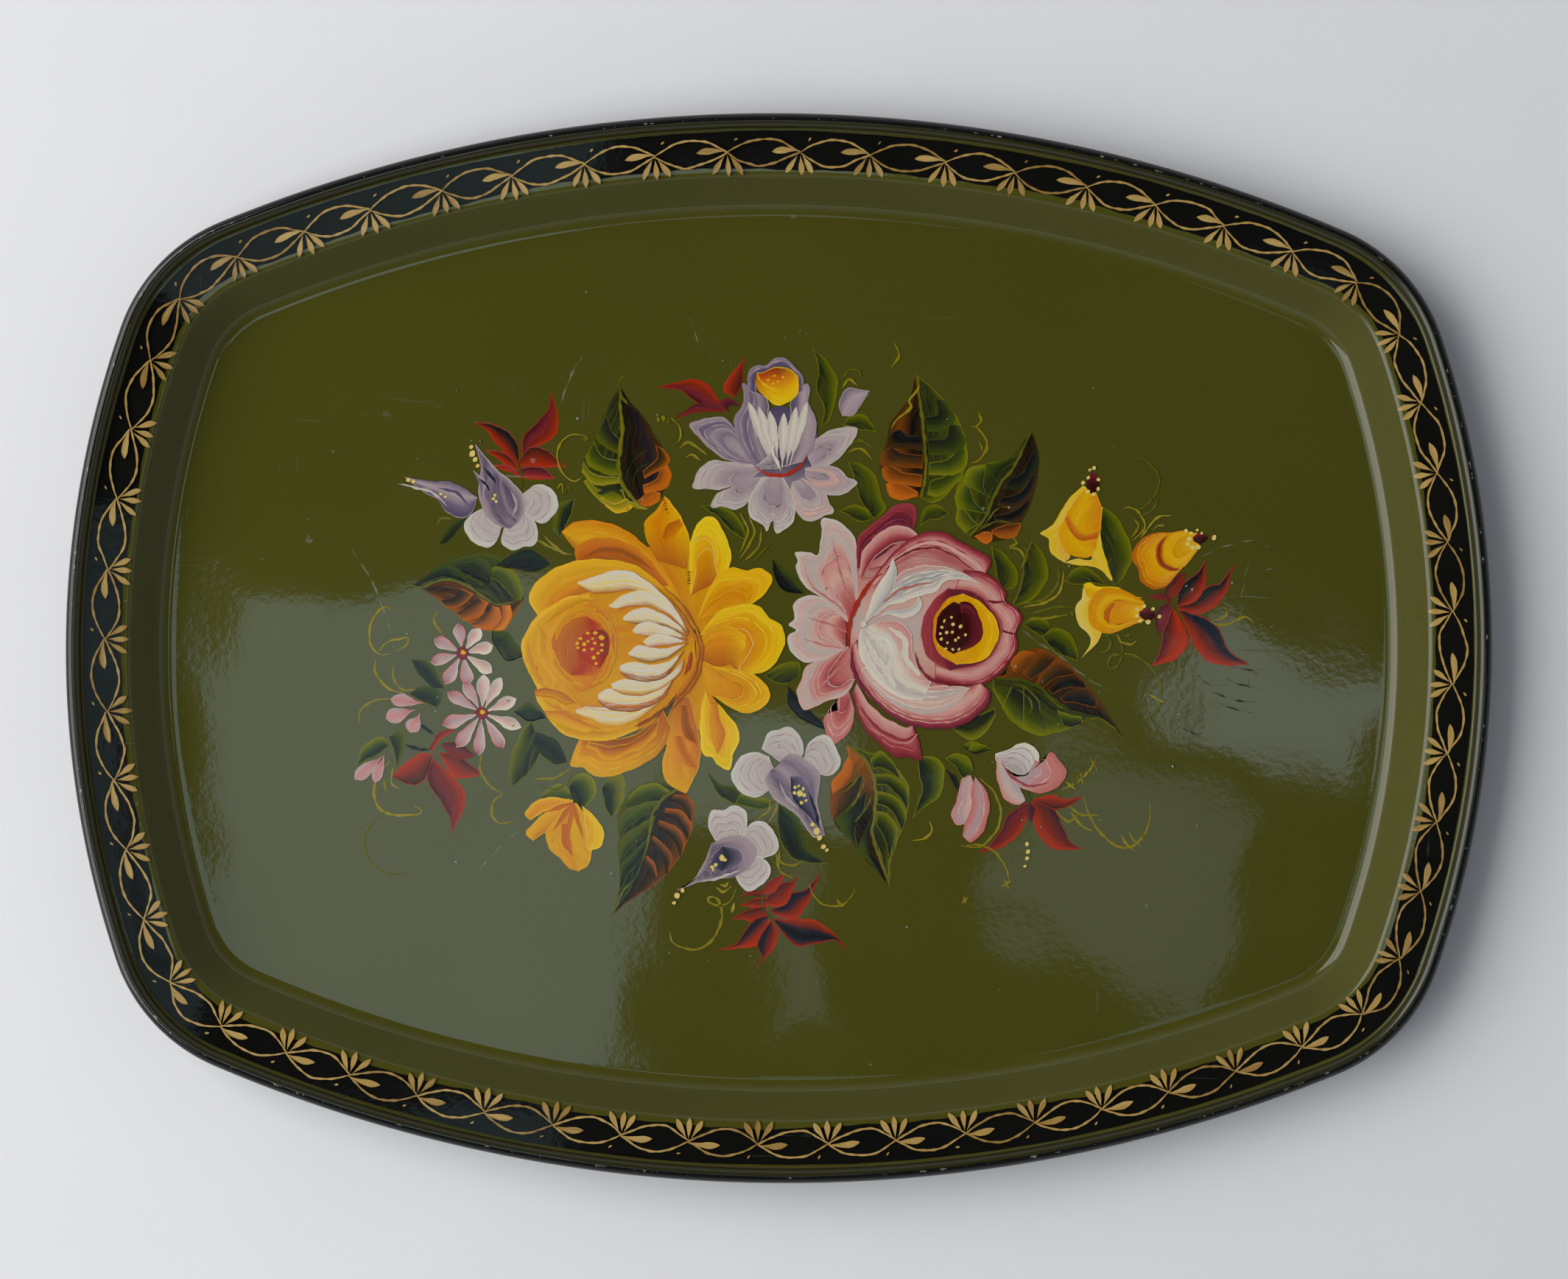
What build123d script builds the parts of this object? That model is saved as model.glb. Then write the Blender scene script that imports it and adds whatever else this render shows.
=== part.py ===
"""Painted steel serving tray: a pressed sheet with a wide rim, its hem rolled round a wire.

Millimetres.  +X along the long side, +Y towards the far long side, +Z up.
Origin: centre of the flat underside, which is what the tray stands on.
"""
from build123d import *
import math
import os

# ---- driving dimensions -------------------------------------------------------------------
tray_width = 460.0  # overall, along X
tray_depth = 345.0  # overall, along Y
corner_radius = 57.0  # outer edge at each of the four corners
long_side_half_angle = 22.76  # degrees that half of a long side's arc turns through
short_side_half_angle = 18.84  # degrees that half of a short side's arc turns through

sheet_thickness = 0.8
wire_diameter = 3.0
wire_clearance = 0.05  # all round, between the wire and the rolled hem
wire_butt_gap = 0.6  # where the two cut ends of the wire face each other

shoulder_inset = 19.2  # outer edge to the corner between flange and wall
cove_inset = 28.6  # outer edge to the corner between wall and floor
floor_inset = 36.0  # outer edge to the flat floor plate
shoulder_height = 13.8  # middle of the sheet at the corner between flange and wall
flange_slope = 8.0  # degrees, the flange rises outwards
cove_radius = 6.5  # middle of the sheet
shoulder_radius = 2.4  # middle of the sheet
root_radius = 1.2  # middle of the sheet, where the flange turns up into the hem
root_heading = 110.0  # degrees, the sheet's direction where it meets the wire
hem_turn = 315.0  # degrees that the hem goes round the wire

# ---- worked out from them -----------------------------------------------------------------
half_thickness = sheet_thickness / 2
wire_radius = wire_diameter / 2
hem_radius = wire_radius + wire_clearance + half_thickness  # middle of the sheet
hem_outer_radius = hem_radius + half_thickness

slope = math.radians(flange_slope)
heading = math.radians(root_heading)
crease_inset = (
    hem_outer_radius
    + root_radius * (math.sin(heading) - math.sin(slope))
    + hem_radius * math.sin(heading)
)
crease_height = shoulder_height + (shoulder_inset - crease_inset) * math.tan(slope)
wire_height = (
    crease_height
    + root_radius * (math.cos(slope) - math.cos(heading))
    - hem_radius * math.cos(heading)
)


def outline_arcs():
    """The outer edge as eight tangent arcs: (centre, radius, first angle, angle swept)."""
    long_turn = math.radians(long_side_half_angle)
    short_turn = math.radians(short_side_half_angle)
    across = tray_width / 2 - corner_radius
    along = tray_depth / 2 - corner_radius
    long_bow = 1 - math.cos(long_turn)
    short_bow = 1 - math.cos(short_turn)
    spread = math.sin(long_turn) * math.sin(short_turn) - long_bow * short_bow
    long_reach = (across * math.sin(short_turn) - along * short_bow) / spread
    short_reach = (along * math.sin(long_turn) - across * long_bow) / spread
    corner_x = long_reach * math.sin(long_turn)
    corner_y = short_reach * math.sin(short_turn)
    long_radius = long_reach + corner_radius
    short_radius = short_reach + corner_radius
    long_centre = long_radius - tray_depth / 2
    short_centre = short_radius - tray_width / 2
    short_span = 2 * short_side_half_angle
    long_span = 2 * long_side_half_angle
    corner_span = 90 - short_side_half_angle - long_side_half_angle

    arcs = []
    angle = -short_side_half_angle
    for side in (1, -1):
        sides = (
            ((-side * short_centre, 0), short_radius, short_span),
            ((side * corner_x, side * corner_y), corner_radius, corner_span),
            ((0, -side * long_centre), long_radius, long_span),
            ((-side * corner_x, side * corner_y), corner_radius, corner_span),
        )
        for centre, radius, span in sides:
            arcs.append((Vector(*centre, 0), radius, angle, span))
            angle += span
    return arcs


def section_plane(centre, angle):
    """Upright plane through an arc's centre: its x runs outwards, its y runs up."""
    turn = math.radians(angle)
    return Plane(
        origin=centre,
        x_dir=(math.cos(turn), math.sin(turn), 0),
        z_dir=(math.sin(turn), -math.cos(turn), 0),
    )


arcs = outline_arcs()
os.makedirs("parts", exist_ok=True)

# ---- the pressed sheet: floor, cove, wall, shoulder, flange and rolled hem ------------------
with BuildPart() as tray_sheet:
    for centre, radius, first_angle, span in arcs:
        with BuildSketch(section_plane(centre, first_angle)):
            with BuildLine() as middle_of_sheet:
                pressed = FilletPolyline(
                    (radius - floor_inset, half_thickness),
                    (radius - cove_inset, half_thickness),
                    (radius - shoulder_inset, shoulder_height),
                    (radius - crease_inset, crease_height),
                    radius=[cove_radius, shoulder_radius],
                )
                root = JernArc(pressed @ 1, pressed % 1, root_radius, root_heading - flange_slope)
                JernArc(root @ 1, root % 1, hem_radius, -hem_turn)
            trace(line_width=sheet_thickness)
        revolve(axis=Axis(centre, (0, 0, 1)), revolution_arc=span)
    with BuildSketch():
        with BuildLine():
            for centre, radius, first_angle, span in arcs:
                CenterArc(centre, radius - floor_inset, first_angle, span)
        make_face()
    extrude(amount=sheet_thickness)

tray_sheet.part.label = "tray_sheet"
export_step(tray_sheet.part, "parts/tray_sheet.step")

# ---- the wire inside the hem: a closed ring with its cut ends butted -------------------------
with BuildPart() as rim_wire:
    for centre, radius, first_angle, span in arcs:
        with BuildSketch(section_plane(centre, first_angle)):
            with Locations((radius - hem_outer_radius, wire_height)):
                Circle(wire_radius)
        revolve(axis=Axis(centre, (0, 0, 1)), revolution_arc=span)
    with BuildSketch(Plane.XY.offset(wire_height - wire_diameter)):
        with Locations((0, -tray_depth / 2 + hem_outer_radius)):
            Rectangle(wire_butt_gap, 2 * wire_diameter)
    extrude(amount=2 * wire_diameter, mode=Mode.SUBTRACT)

rim_wire.part.label = "rim_wire"
export_step(rim_wire.part, "parts/rim_wire.step")

print(f"outline radii {[round(arc[1], 2) for arc in arcs[:3]]}")
print(f"crease {crease_inset:.2f} in, {crease_height:.2f} up; top {wire_height + hem_outer_radius:.2f}")
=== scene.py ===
"""A painted steel tray: pressed sheet with a wired hem, green and black lacquer, a gold border
round the rim and a bunch of oil painted flowers on the floor.

Lengths are in millimetres until they reach a mesh, a light or the camera, which are in metres.
The tray lies flat, +X along its long side, +Z up, with its origin under its middle.
"""

import math

import bmesh
import bpy
import numpy as np
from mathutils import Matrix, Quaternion, Vector


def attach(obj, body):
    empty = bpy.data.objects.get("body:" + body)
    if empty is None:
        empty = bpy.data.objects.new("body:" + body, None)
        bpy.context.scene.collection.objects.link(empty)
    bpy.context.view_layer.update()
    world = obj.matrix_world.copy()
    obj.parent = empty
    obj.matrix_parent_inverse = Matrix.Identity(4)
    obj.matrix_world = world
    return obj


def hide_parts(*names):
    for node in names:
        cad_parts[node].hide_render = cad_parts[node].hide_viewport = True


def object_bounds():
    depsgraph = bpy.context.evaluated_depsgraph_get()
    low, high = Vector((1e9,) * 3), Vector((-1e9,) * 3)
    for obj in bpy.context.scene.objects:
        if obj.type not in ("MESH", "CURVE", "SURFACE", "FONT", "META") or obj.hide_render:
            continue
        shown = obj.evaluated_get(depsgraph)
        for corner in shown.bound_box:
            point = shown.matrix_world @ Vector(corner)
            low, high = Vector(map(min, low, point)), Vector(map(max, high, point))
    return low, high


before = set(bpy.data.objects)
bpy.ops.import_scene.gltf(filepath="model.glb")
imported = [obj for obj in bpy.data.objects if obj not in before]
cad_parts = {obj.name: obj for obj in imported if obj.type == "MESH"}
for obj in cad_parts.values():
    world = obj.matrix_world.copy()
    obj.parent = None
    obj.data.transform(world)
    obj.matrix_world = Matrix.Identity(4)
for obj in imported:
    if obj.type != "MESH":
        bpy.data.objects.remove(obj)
cad_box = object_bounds()

MM = 0.001
LAYER = 0.003  # each stroke of paint lies this much above the one before
SUNK = 0.02  # the underside of all paint lies this far inside what it is painted on
SMOOTH_ANGLE = math.radians(40)  # paint keeps a sharp edge where its faces meet at more than this
random = np.random.default_rng(11)

# ---- the tray's own dimensions --------------------------------------------------------------
cad_low, cad_high = cad_box
tray_width = (cad_high.x - cad_low.x) / MM
tray_depth = (cad_high.y - cad_low.y) / MM
corner_radius = 57.0
long_side_half_angle = math.radians(22.76)
short_side_half_angle = math.radians(18.84)

sheet_thickness = 0.8
half_thickness = sheet_thickness / 2
hem_radius = 1.95
hem_outer_radius = hem_radius + half_thickness
shoulder_inset = 19.2
cove_inset = 28.6
floor_inset = 36.0
shoulder_height = 13.8
flange_slope = math.radians(8.0)
cove_radius = 6.5
shoulder_radius = 2.4
root_radius = 1.2
root_heading = math.radians(110.0)
hem_turn = math.radians(315.0)
crease_inset = (
    hem_outer_radius
    + root_radius * (math.sin(root_heading) - math.sin(flange_slope))
    + hem_radius * math.sin(root_heading)
)


# ---- outline and section of the sheet -------------------------------------------------------
def outline_arcs():
    """The outer edge, anticlockwise from the middle of the right side, as tangent arcs:
    (centre x, centre y, radius, first angle, angle swept)."""
    across = tray_width / 2 - corner_radius
    along = tray_depth / 2 - corner_radius
    long_bow = 1 - math.cos(long_side_half_angle)
    short_bow = 1 - math.cos(short_side_half_angle)
    long_sine = math.sin(long_side_half_angle)
    short_sine = math.sin(short_side_half_angle)
    spread = long_sine * short_sine - long_bow * short_bow
    long_reach = (across * short_sine - along * short_bow) / spread
    short_reach = (along * long_sine - across * long_bow) / spread
    corner_x = long_reach * long_sine
    corner_y = short_reach * short_sine
    long_radius = long_reach + corner_radius
    short_radius = short_reach + corner_radius
    long_centre = long_radius - tray_depth / 2
    short_centre = short_radius - tray_width / 2
    corner_span = math.pi / 2 - long_side_half_angle - short_side_half_angle
    arcs = []
    angle = 0.0
    for x, y, radius, span in (
        (-short_centre, 0, short_radius, short_side_half_angle),
        (corner_x, corner_y, corner_radius, corner_span),
        (0, -long_centre, long_radius, 2 * long_side_half_angle),
        (-corner_x, corner_y, corner_radius, corner_span),
        (short_centre, 0, short_radius, 2 * short_side_half_angle),
        (-corner_x, -corner_y, corner_radius, corner_span),
        (0, long_centre, long_radius, 2 * long_side_half_angle),
        (corner_x, -corner_y, corner_radius, corner_span),
        (-short_centre, 0, short_radius, short_side_half_angle),
    ):
        arcs.append((x, y, radius, angle, span))
        angle += span
    return arcs


ARCS = outline_arcs()
ARC_STARTS = np.concatenate([[0.0], np.cumsum([arc[2] * arc[4] for arc in ARCS])])
PERIMETER = ARC_STARTS[-1]


def outline(run):
    """Point on the outer edge and outward direction at each distance run round it."""
    run = np.mod(np.asarray(run, float), PERIMETER)
    index = np.clip(np.searchsorted(ARC_STARTS, run, side="right") - 1, 0, len(ARCS) - 1)
    arc = np.array(ARCS)[index]
    angle = arc[..., 3] + (run - ARC_STARTS[index]) / arc[..., 2]
    outward = np.stack([np.cos(angle), np.sin(angle)], axis=-1)
    return arc[..., :2] + outward * arc[..., 2:3], outward


def walk_section():
    """Middle of the sheet from the floor out to the hem's cut edge: inset, height, heading."""
    wall_angle = math.atan2(shoulder_height - half_thickness, cove_inset - shoulder_inset)
    wall_length = math.hypot(shoulder_height - half_thickness, cove_inset - shoulder_inset)
    cove_run = cove_radius * math.tan(wall_angle / 2)
    shoulder_run = shoulder_radius * math.tan((wall_angle - flange_slope) / 2)
    flange_length = (shoulder_inset - crease_inset) / math.cos(flange_slope)
    moves = (
        (floor_inset - cove_inset - cove_run, 0, 4),
        (cove_radius * wall_angle, wall_angle, 12),
        (wall_length - cove_run - shoulder_run, 0, 6),
        (shoulder_radius * (wall_angle - flange_slope), flange_slope - wall_angle, 8),
        (flange_length - shoulder_run, 0, 8),
        (root_radius * (root_heading - flange_slope), root_heading - flange_slope, 7),
        (hem_radius * hem_turn, -hem_turn, 30),
    )
    points = [(floor_inset, half_thickness, 0.0)]
    for length, turn, steps in moves:
        for _ in range(steps):
            inset, height, heading = points[-1]
            middle = heading + turn / steps / 2
            chord = length / steps
            if turn:
                chord *= math.sin(turn / steps / 2) / (turn / steps / 2)
            inset -= chord * math.cos(middle)
            height += chord * math.sin(middle)
            points.append((inset, height, heading + turn / steps))
    return np.array(points)


SECTION = walk_section()


def section_side(side):
    """One face of the sheet, side 1 for the painted face and -1 for the back: inset, height."""
    inset, height, heading = SECTION.T
    return np.stack(
        [
            inset + side * half_thickness * np.sin(heading),
            height + side * half_thickness * np.cos(heading),
        ],
        axis=-1,
    )


PAINTED_FACE = section_side(1)
FLOOR_TOP = sheet_thickness
CREST = int(np.argmax(PAINTED_FACE[:, 1]))
CREASE = int(np.argmin(np.abs(SECTION[:, 0] - crease_inset)[:CREST]))


def on_rim(run, inset, lift):
    """A point on the painted face, at a distance run round the edge and inset from it in plan,
    raised by lift along the face's own upright."""
    face = PAINTED_FACE[: CREASE + 1][::-1]
    heading = SECTION[: CREASE + 1, 2][::-1]
    height = np.interp(inset, face[:, 0], face[:, 1])
    tilt = np.interp(inset, face[:, 0], heading)
    edge, outward = outline(run)
    plan = edge - outward * (inset + lift * np.sin(tilt))[..., None]
    return np.concatenate([plan, (height + lift * np.cos(tilt))[..., None]], axis=-1)


def on_floor(x, y, lift):
    """A point above the tray's flat floor."""
    return np.stack([x, y, np.full(np.shape(x), FLOOR_TOP) + lift], axis=-1)


# ---- meshes ---------------------------------------------------------------------------------
def grid_faces(rows, columns, closed=False):
    """Quads of a grid whose points are numbered row by row; closed joins the last row on."""
    row = np.arange(rows if closed else rows - 1)[:, None]
    column = np.arange(columns - 1)[None, :]
    here = row * columns + column
    after = (row + 1) % rows * columns + column
    return np.stack([here, after, after + 1, here + 1], axis=-1).reshape(-1, 4)


def make_object(name, points, faces, attributes, material):
    """A mesh object in metres from points in millimetres, riding on the tray."""
    mesh = bpy.data.meshes.new(name)
    mesh.from_pydata((np.asarray(points) * MM).tolist(), [], faces)
    for key, values in attributes.items():
        values = np.asarray(values, np.float32)
        if values.ndim == 1:
            mesh.attributes.new(key, "FLOAT", "POINT").data.foreach_set("value", values)
        else:
            mesh.attributes.new(key, "FLOAT_VECTOR", "POINT").data.foreach_set(
                "vector", values.ravel()
            )
    mesh.polygons.foreach_set("use_smooth", [True] * len(mesh.polygons))
    mesh.update()
    piece = bpy.data.objects.new(name, mesh)
    bpy.context.scene.collection.objects.link(piece)
    mesh.materials.append(material)
    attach(piece, "root")
    return piece


def face_outward(piece):
    """Turns the faces of a closed mesh to look outward."""
    skin = bmesh.new()
    skin.from_mesh(piece.data)
    bmesh.ops.recalc_face_normals(skin, faces=skin.faces)
    skin.to_mesh(piece.data)
    skin.free()


# ---- materials ------------------------------------------------------------------------------
def linear(colour):
    """Linear light from an sRGB colour in 0 to 255."""
    share = np.asarray(colour, float) / 255
    return np.where(share <= 0.04045, share / 12.92, ((share + 0.055) / 1.055) ** 2.4)


# the painter's colours, in sRGB from 0 to 255
PALETTE = {
    name: linear(colour)
    for name, colour in {
        "black": (14, 15, 12), "soot": (22, 26, 24), "moss": (40, 46, 18), "forest": (30, 42, 22),
        "leaf": (64, 76, 10), "olive": (88, 88, 12), "lime": (118, 118, 8),
        "straw": (150, 132, 28), "thread": (136, 120, 24), "night": (24, 28, 40),
        "umber": (70, 44, 12), "rust": (128, 66, 12), "copper": (176, 90, 14), "ember": (198, 104, 20),
        "orange": (208, 126, 4), "amber": (214, 148, 2), "honey": (214, 158, 8),
        "gold": (224, 172, 10), "lemon": (226, 190, 24), "butter": (226, 200, 104),
        "cream": (230, 206, 148), "milk": (217, 207, 188), "chalk": (198, 191, 181),
        "pearl": (184, 172, 164), "smoke": (150, 152, 148),
        "mauve": (170, 150, 152), "lilac": (148, 131, 138), "violet": (104, 90, 112),
        "indigo": (76, 66, 92), "blush": (206, 162, 148), "rose": (196, 128, 122),
        "salmon": (186, 104, 96), "cerise": (158, 58, 66), "wine": (112, 30, 40),
        "plum": (92, 30, 50), "scarlet": (170, 46, 16), "brick": (120, 34, 12), "maroon": (52, 10, 8),
        "scuff": (104, 104, 76), "chip": (140, 140, 126), "leafgold": (176, 142, 78),
        "oldgold": (150, 116, 58), "palegold": (204, 176, 112),
    }.items()
}


class Nodes:
    """Short calls for building one material's nodes."""

    def __init__(self, name):
        self.material = bpy.data.materials.new(name)
        self.material.use_nodes = True
        self.tree = self.material.node_tree
        self.shader = self.tree.nodes["Principled BSDF"]

    def node(self, kind, **inputs):
        made = self.tree.nodes.new(kind)
        for key, value in inputs.items():
            self.set(made.inputs[key.replace("_", " ")], value)
        return made

    def set(self, socket, value):
        if isinstance(value, bpy.types.NodeSocket):
            self.tree.links.new(value, socket)
        else:
            socket.default_value = value

    def maths(self, operation, first, second=0.0):
        made = self.tree.nodes.new("ShaderNodeMath")
        made.operation = operation
        self.set(made.inputs[0], first)
        self.set(made.inputs[1], second)
        return made.outputs[0]

    def attribute(self, name):
        made = self.tree.nodes.new("ShaderNodeAttribute")
        made.attribute_name = name
        return made

    def place(self, stretch):
        """Object coordinates, stretched by a factor on each axis."""
        coordinates = self.tree.nodes.new("ShaderNodeTexCoord").outputs["Object"]
        return self.stretched(coordinates, stretch)

    def stretched(self, vector, stretch):
        made = self.tree.nodes.new("ShaderNodeVectorMath")
        made.operation = "MULTIPLY"
        self.set(made.inputs[0], vector)
        made.inputs[1].default_value = stretch
        return made.outputs[0]

    def noise(self, vector, scale, detail=3.0, roughness=0.5):
        made = self.node("ShaderNodeTexNoise", Vector=vector, Scale=scale, Detail=detail)
        made.inputs["Roughness"].default_value = roughness
        return made.outputs["Fac"]

    def ramp(self, value, low, high):
        """0 below low, 1 above high, smooth between."""
        made = self.tree.nodes.new("ShaderNodeMapRange")
        made.interpolation_type = "SMOOTHSTEP"
        self.set(made.inputs["Value"], value)
        made.inputs["From Min"].default_value = low
        made.inputs["From Max"].default_value = high
        return made.outputs["Result"]

    def mix(self, factor, first, second):
        made = self.tree.nodes.new("ShaderNodeMix")
        made.data_type = "RGBA"
        self.set(made.inputs["Factor"], factor)
        for socket, value in ((made.inputs["A"], first), (made.inputs["B"], second)):
            colours = [s for s in made.inputs if s.name == socket.name and s.type == "RGBA"]
            self.set(colours[0], value)
        return [s for s in made.outputs if s.type == "RGBA"][0]

    def bump(self, height, distance, normal=None):
        made = self.node("ShaderNodeBump", Height=height)
        made.inputs["Distance"].default_value = distance
        made.inputs["Strength"].default_value = 1.0
        if normal is not None:
            self.set(made.inputs["Normal"], normal)
        return made.outputs["Normal"]


def rgba(colour):
    return (*linear(colour), 1.0)


def lacquer_coat(nodes):
    """The clear coat over everything: slow ripples of the sheet, fine orange peel, hairline
    scratches, rubbed patches and specks of dust.  Returns the mask of the rubbed patches, the
    mask of the scratches and specks, and the normal."""
    place = nodes.place((1, 1, 1))
    ripple = nodes.noise(place, 9.0, 2.0)
    peel = nodes.noise(place, 420.0, 3.0)
    warped = nodes.node("ShaderNodeTexNoise", Vector=place, Scale=3.0, Detail=2.0)
    rub = nodes.ramp(nodes.noise(place, 16.0, 5.0, 0.65), 0.62, 0.80)
    bend = nodes.tree.nodes.new("ShaderNodeVectorMath")
    bend.operation = "MULTIPLY_ADD"
    nodes.set(bend.inputs[0], warped.outputs["Color"])
    bend.inputs[1].default_value = (0.06, 0.06, 0.06)
    nodes.set(bend.inputs[2], place)
    hairlines = None
    for stretch in ((30, 700, 30), (520, 40, 30), (260, 330, 30)):
        lines = nodes.noise(nodes.stretched(bend.outputs[0], stretch), 1.0, 2.0, 0.4)
        lines = nodes.ramp(lines, 0.74, 0.80)
        hairlines = lines if hairlines is None else nodes.maths("MAXIMUM", hairlines, lines)
    hairlines = nodes.maths("MULTIPLY", hairlines, nodes.ramp(nodes.noise(place, 11.0), 0.5, 0.66))
    speck = nodes.node("ShaderNodeTexVoronoi", Vector=place, Scale=95.0)
    speck_size = nodes.ramp(speck.outputs["Distance"], 0.05, 0.02)
    chance = nodes.node("ShaderNodeSeparateColor", Color=speck.outputs["Color"])
    specks = nodes.maths("MULTIPLY", speck_size, nodes.ramp(chance.outputs["Red"], 0.90, 0.91))
    marks = nodes.maths("MAXIMUM", hairlines, specks)
    normal = nodes.bump(ripple, 0.0011)
    normal = nodes.bump(peel, 0.000012, normal=normal)
    normal = nodes.bump(marks, 0.00002, normal=normal)
    return rub, marks, normal


def finish_lacquer(nodes, colour, rub, marks, normal, gloss=0.05, mirror=0.5):
    """Sets the shader of a lacquered paint; gloss is its roughness where nothing has marked it."""
    dust = nodes.maths("MULTIPLY", marks, 0.30)
    nodes.set(nodes.shader.inputs["Base Color"], nodes.mix(dust, colour, rgba((150, 150, 138))))
    rough = nodes.maths("ADD", nodes.maths("MULTIPLY", marks, 0.25), gloss)
    rough = nodes.maths("ADD", rough, nodes.maths("MULTIPLY", rub, 0.10))
    nodes.set(nodes.shader.inputs["Roughness"], rough)
    nodes.set(nodes.shader.inputs["Normal"], normal)
    nodes.shader.inputs["IOR"].default_value = 1.5
    nodes.shader.inputs["Specular IOR Level"].default_value = mirror
    return nodes.material


def green_lacquer():
    """Dark olive lacquer on the face; black from the hem's crest round to the back."""
    nodes = Nodes("green_lacquer")
    rub, marks, normal = lacquer_coat(nodes)
    place = nodes.place((1, 1, 1))
    tone = nodes.noise(place, 14.0, 4.0)
    fine = nodes.noise(place, 900.0, 2.0)
    green = nodes.mix(tone, rgba((69, 68, 16)), rgba((80, 79, 24)))
    green = nodes.mix(nodes.maths("MULTIPLY", fine, 0.25), green, rgba((90, 88, 36)))
    past_crest = nodes.attribute("past_crest").outputs["Fac"]
    wobble = nodes.maths("MULTIPLY", nodes.noise(place, 300.0, 4.0), 0.9)
    edge = nodes.maths("ADD", past_crest, wobble)
    black = nodes.mix(fine, rgba((15, 15, 13)), rgba((24, 24, 23)))
    # the green darkens most of the way to black up the inner slope of the hem, towards its crest
    hem_slope_darkening = nodes.maths("MULTIPLY", nodes.ramp(edge, -6.0, -2.8), 0.72)
    colour = nodes.mix(hem_slope_darkening, green, black)
    colour = nodes.mix(nodes.ramp(edge, 0.25, 0.45), colour, black)
    near_crest = nodes.maths("ABSOLUTE", nodes.maths("SUBTRACT", past_crest, 0.5))
    worn = nodes.maths("ADD", near_crest, nodes.maths("MULTIPLY", nodes.noise(place, 420.0, 5.0), -3.2))
    worn = nodes.ramp(worn, -1.85, -2.0)
    colour = nodes.mix(worn, colour, rgba((128, 126, 112)))
    return finish_lacquer(nodes, colour, rub, marks, normal)


def black_lacquer():
    """The band brushed on the flange."""
    nodes = Nodes("black_lacquer")
    rub, marks, normal = lacquer_coat(nodes)
    tone = nodes.noise(nodes.place((1, 1, 1)), 40.0, 3.0)
    colour = nodes.mix(tone, rgba((12, 12, 11)), rgba((22, 22, 20)))
    return finish_lacquer(nodes, colour, rub, marks, normal, mirror=0.14)


def steel_wire():
    """Drawn mild steel, dull and faintly streaked along the wire."""
    nodes = Nodes("steel_wire")
    place = nodes.place((1, 1, 1))
    tone = nodes.noise(place, 260.0, 4.0)
    colour = nodes.mix(tone, rgba((112, 112, 112)), rgba((146, 145, 142)))
    nodes.set(nodes.shader.inputs["Base Color"], colour)
    nodes.shader.inputs["Metallic"].default_value = 1.0
    nodes.set(nodes.shader.inputs["Roughness"], nodes.ramp(tone, -0.6, 1.6))
    nodes.set(nodes.shader.inputs["Normal"], nodes.bump(tone, 0.00003))
    return nodes.material


def oil_paint(name):
    """Brushed oil colour under the lacquer.  The mesh carries two colours that the bristles
    mix, and bristle coordinates: across the bristles, along them, and a number per stroke."""
    bristle = 0.6  # the most of the second colour that a bristle leaves
    nodes = Nodes(name)
    rub, marks, normal = lacquer_coat(nodes)
    flow = nodes.attribute("flow").outputs["Vector"]
    coarse = nodes.noise(nodes.stretched(flow, (0.55, 0.05, 1.0)), 1.0, 4.0, 0.65)
    fine = nodes.noise(nodes.stretched(flow, (3.2, 0.12, 1.0)), 1.0, 3.0, 0.6)
    streak = nodes.maths("ADD", nodes.maths("MULTIPLY", coarse, 0.62),
                         nodes.maths("MULTIPLY", fine, 0.38))
    strength = nodes.maths("MULTIPLY", nodes.ramp(streak, 0.40, 0.66), bristle)
    paint = nodes.attribute("paint").outputs["Color"]
    colour = nodes.mix(strength, paint, nodes.attribute("paint_light").outputs["Color"])
    gap = nodes.attribute("gap").outputs["Fac"]
    ragged = nodes.maths("ADD", gap, nodes.maths("MULTIPLY", fine, -0.55))
    ridge = nodes.maths("MULTIPLY", nodes.ramp(ragged, 0.28, -0.08), 0.75)
    colour = nodes.mix(ridge, colour, nodes.attribute("paint_edge").outputs["Color"])
    relief = nodes.maths("ADD", streak, nodes.maths("MULTIPLY", nodes.ramp(gap, 0.5, 0.1), 0.5))
    normal = nodes.bump(relief, 0.00004, normal=normal)
    return finish_lacquer(nodes, colour, rub, marks, normal, gloss=0.09, mirror=0.3)


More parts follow.
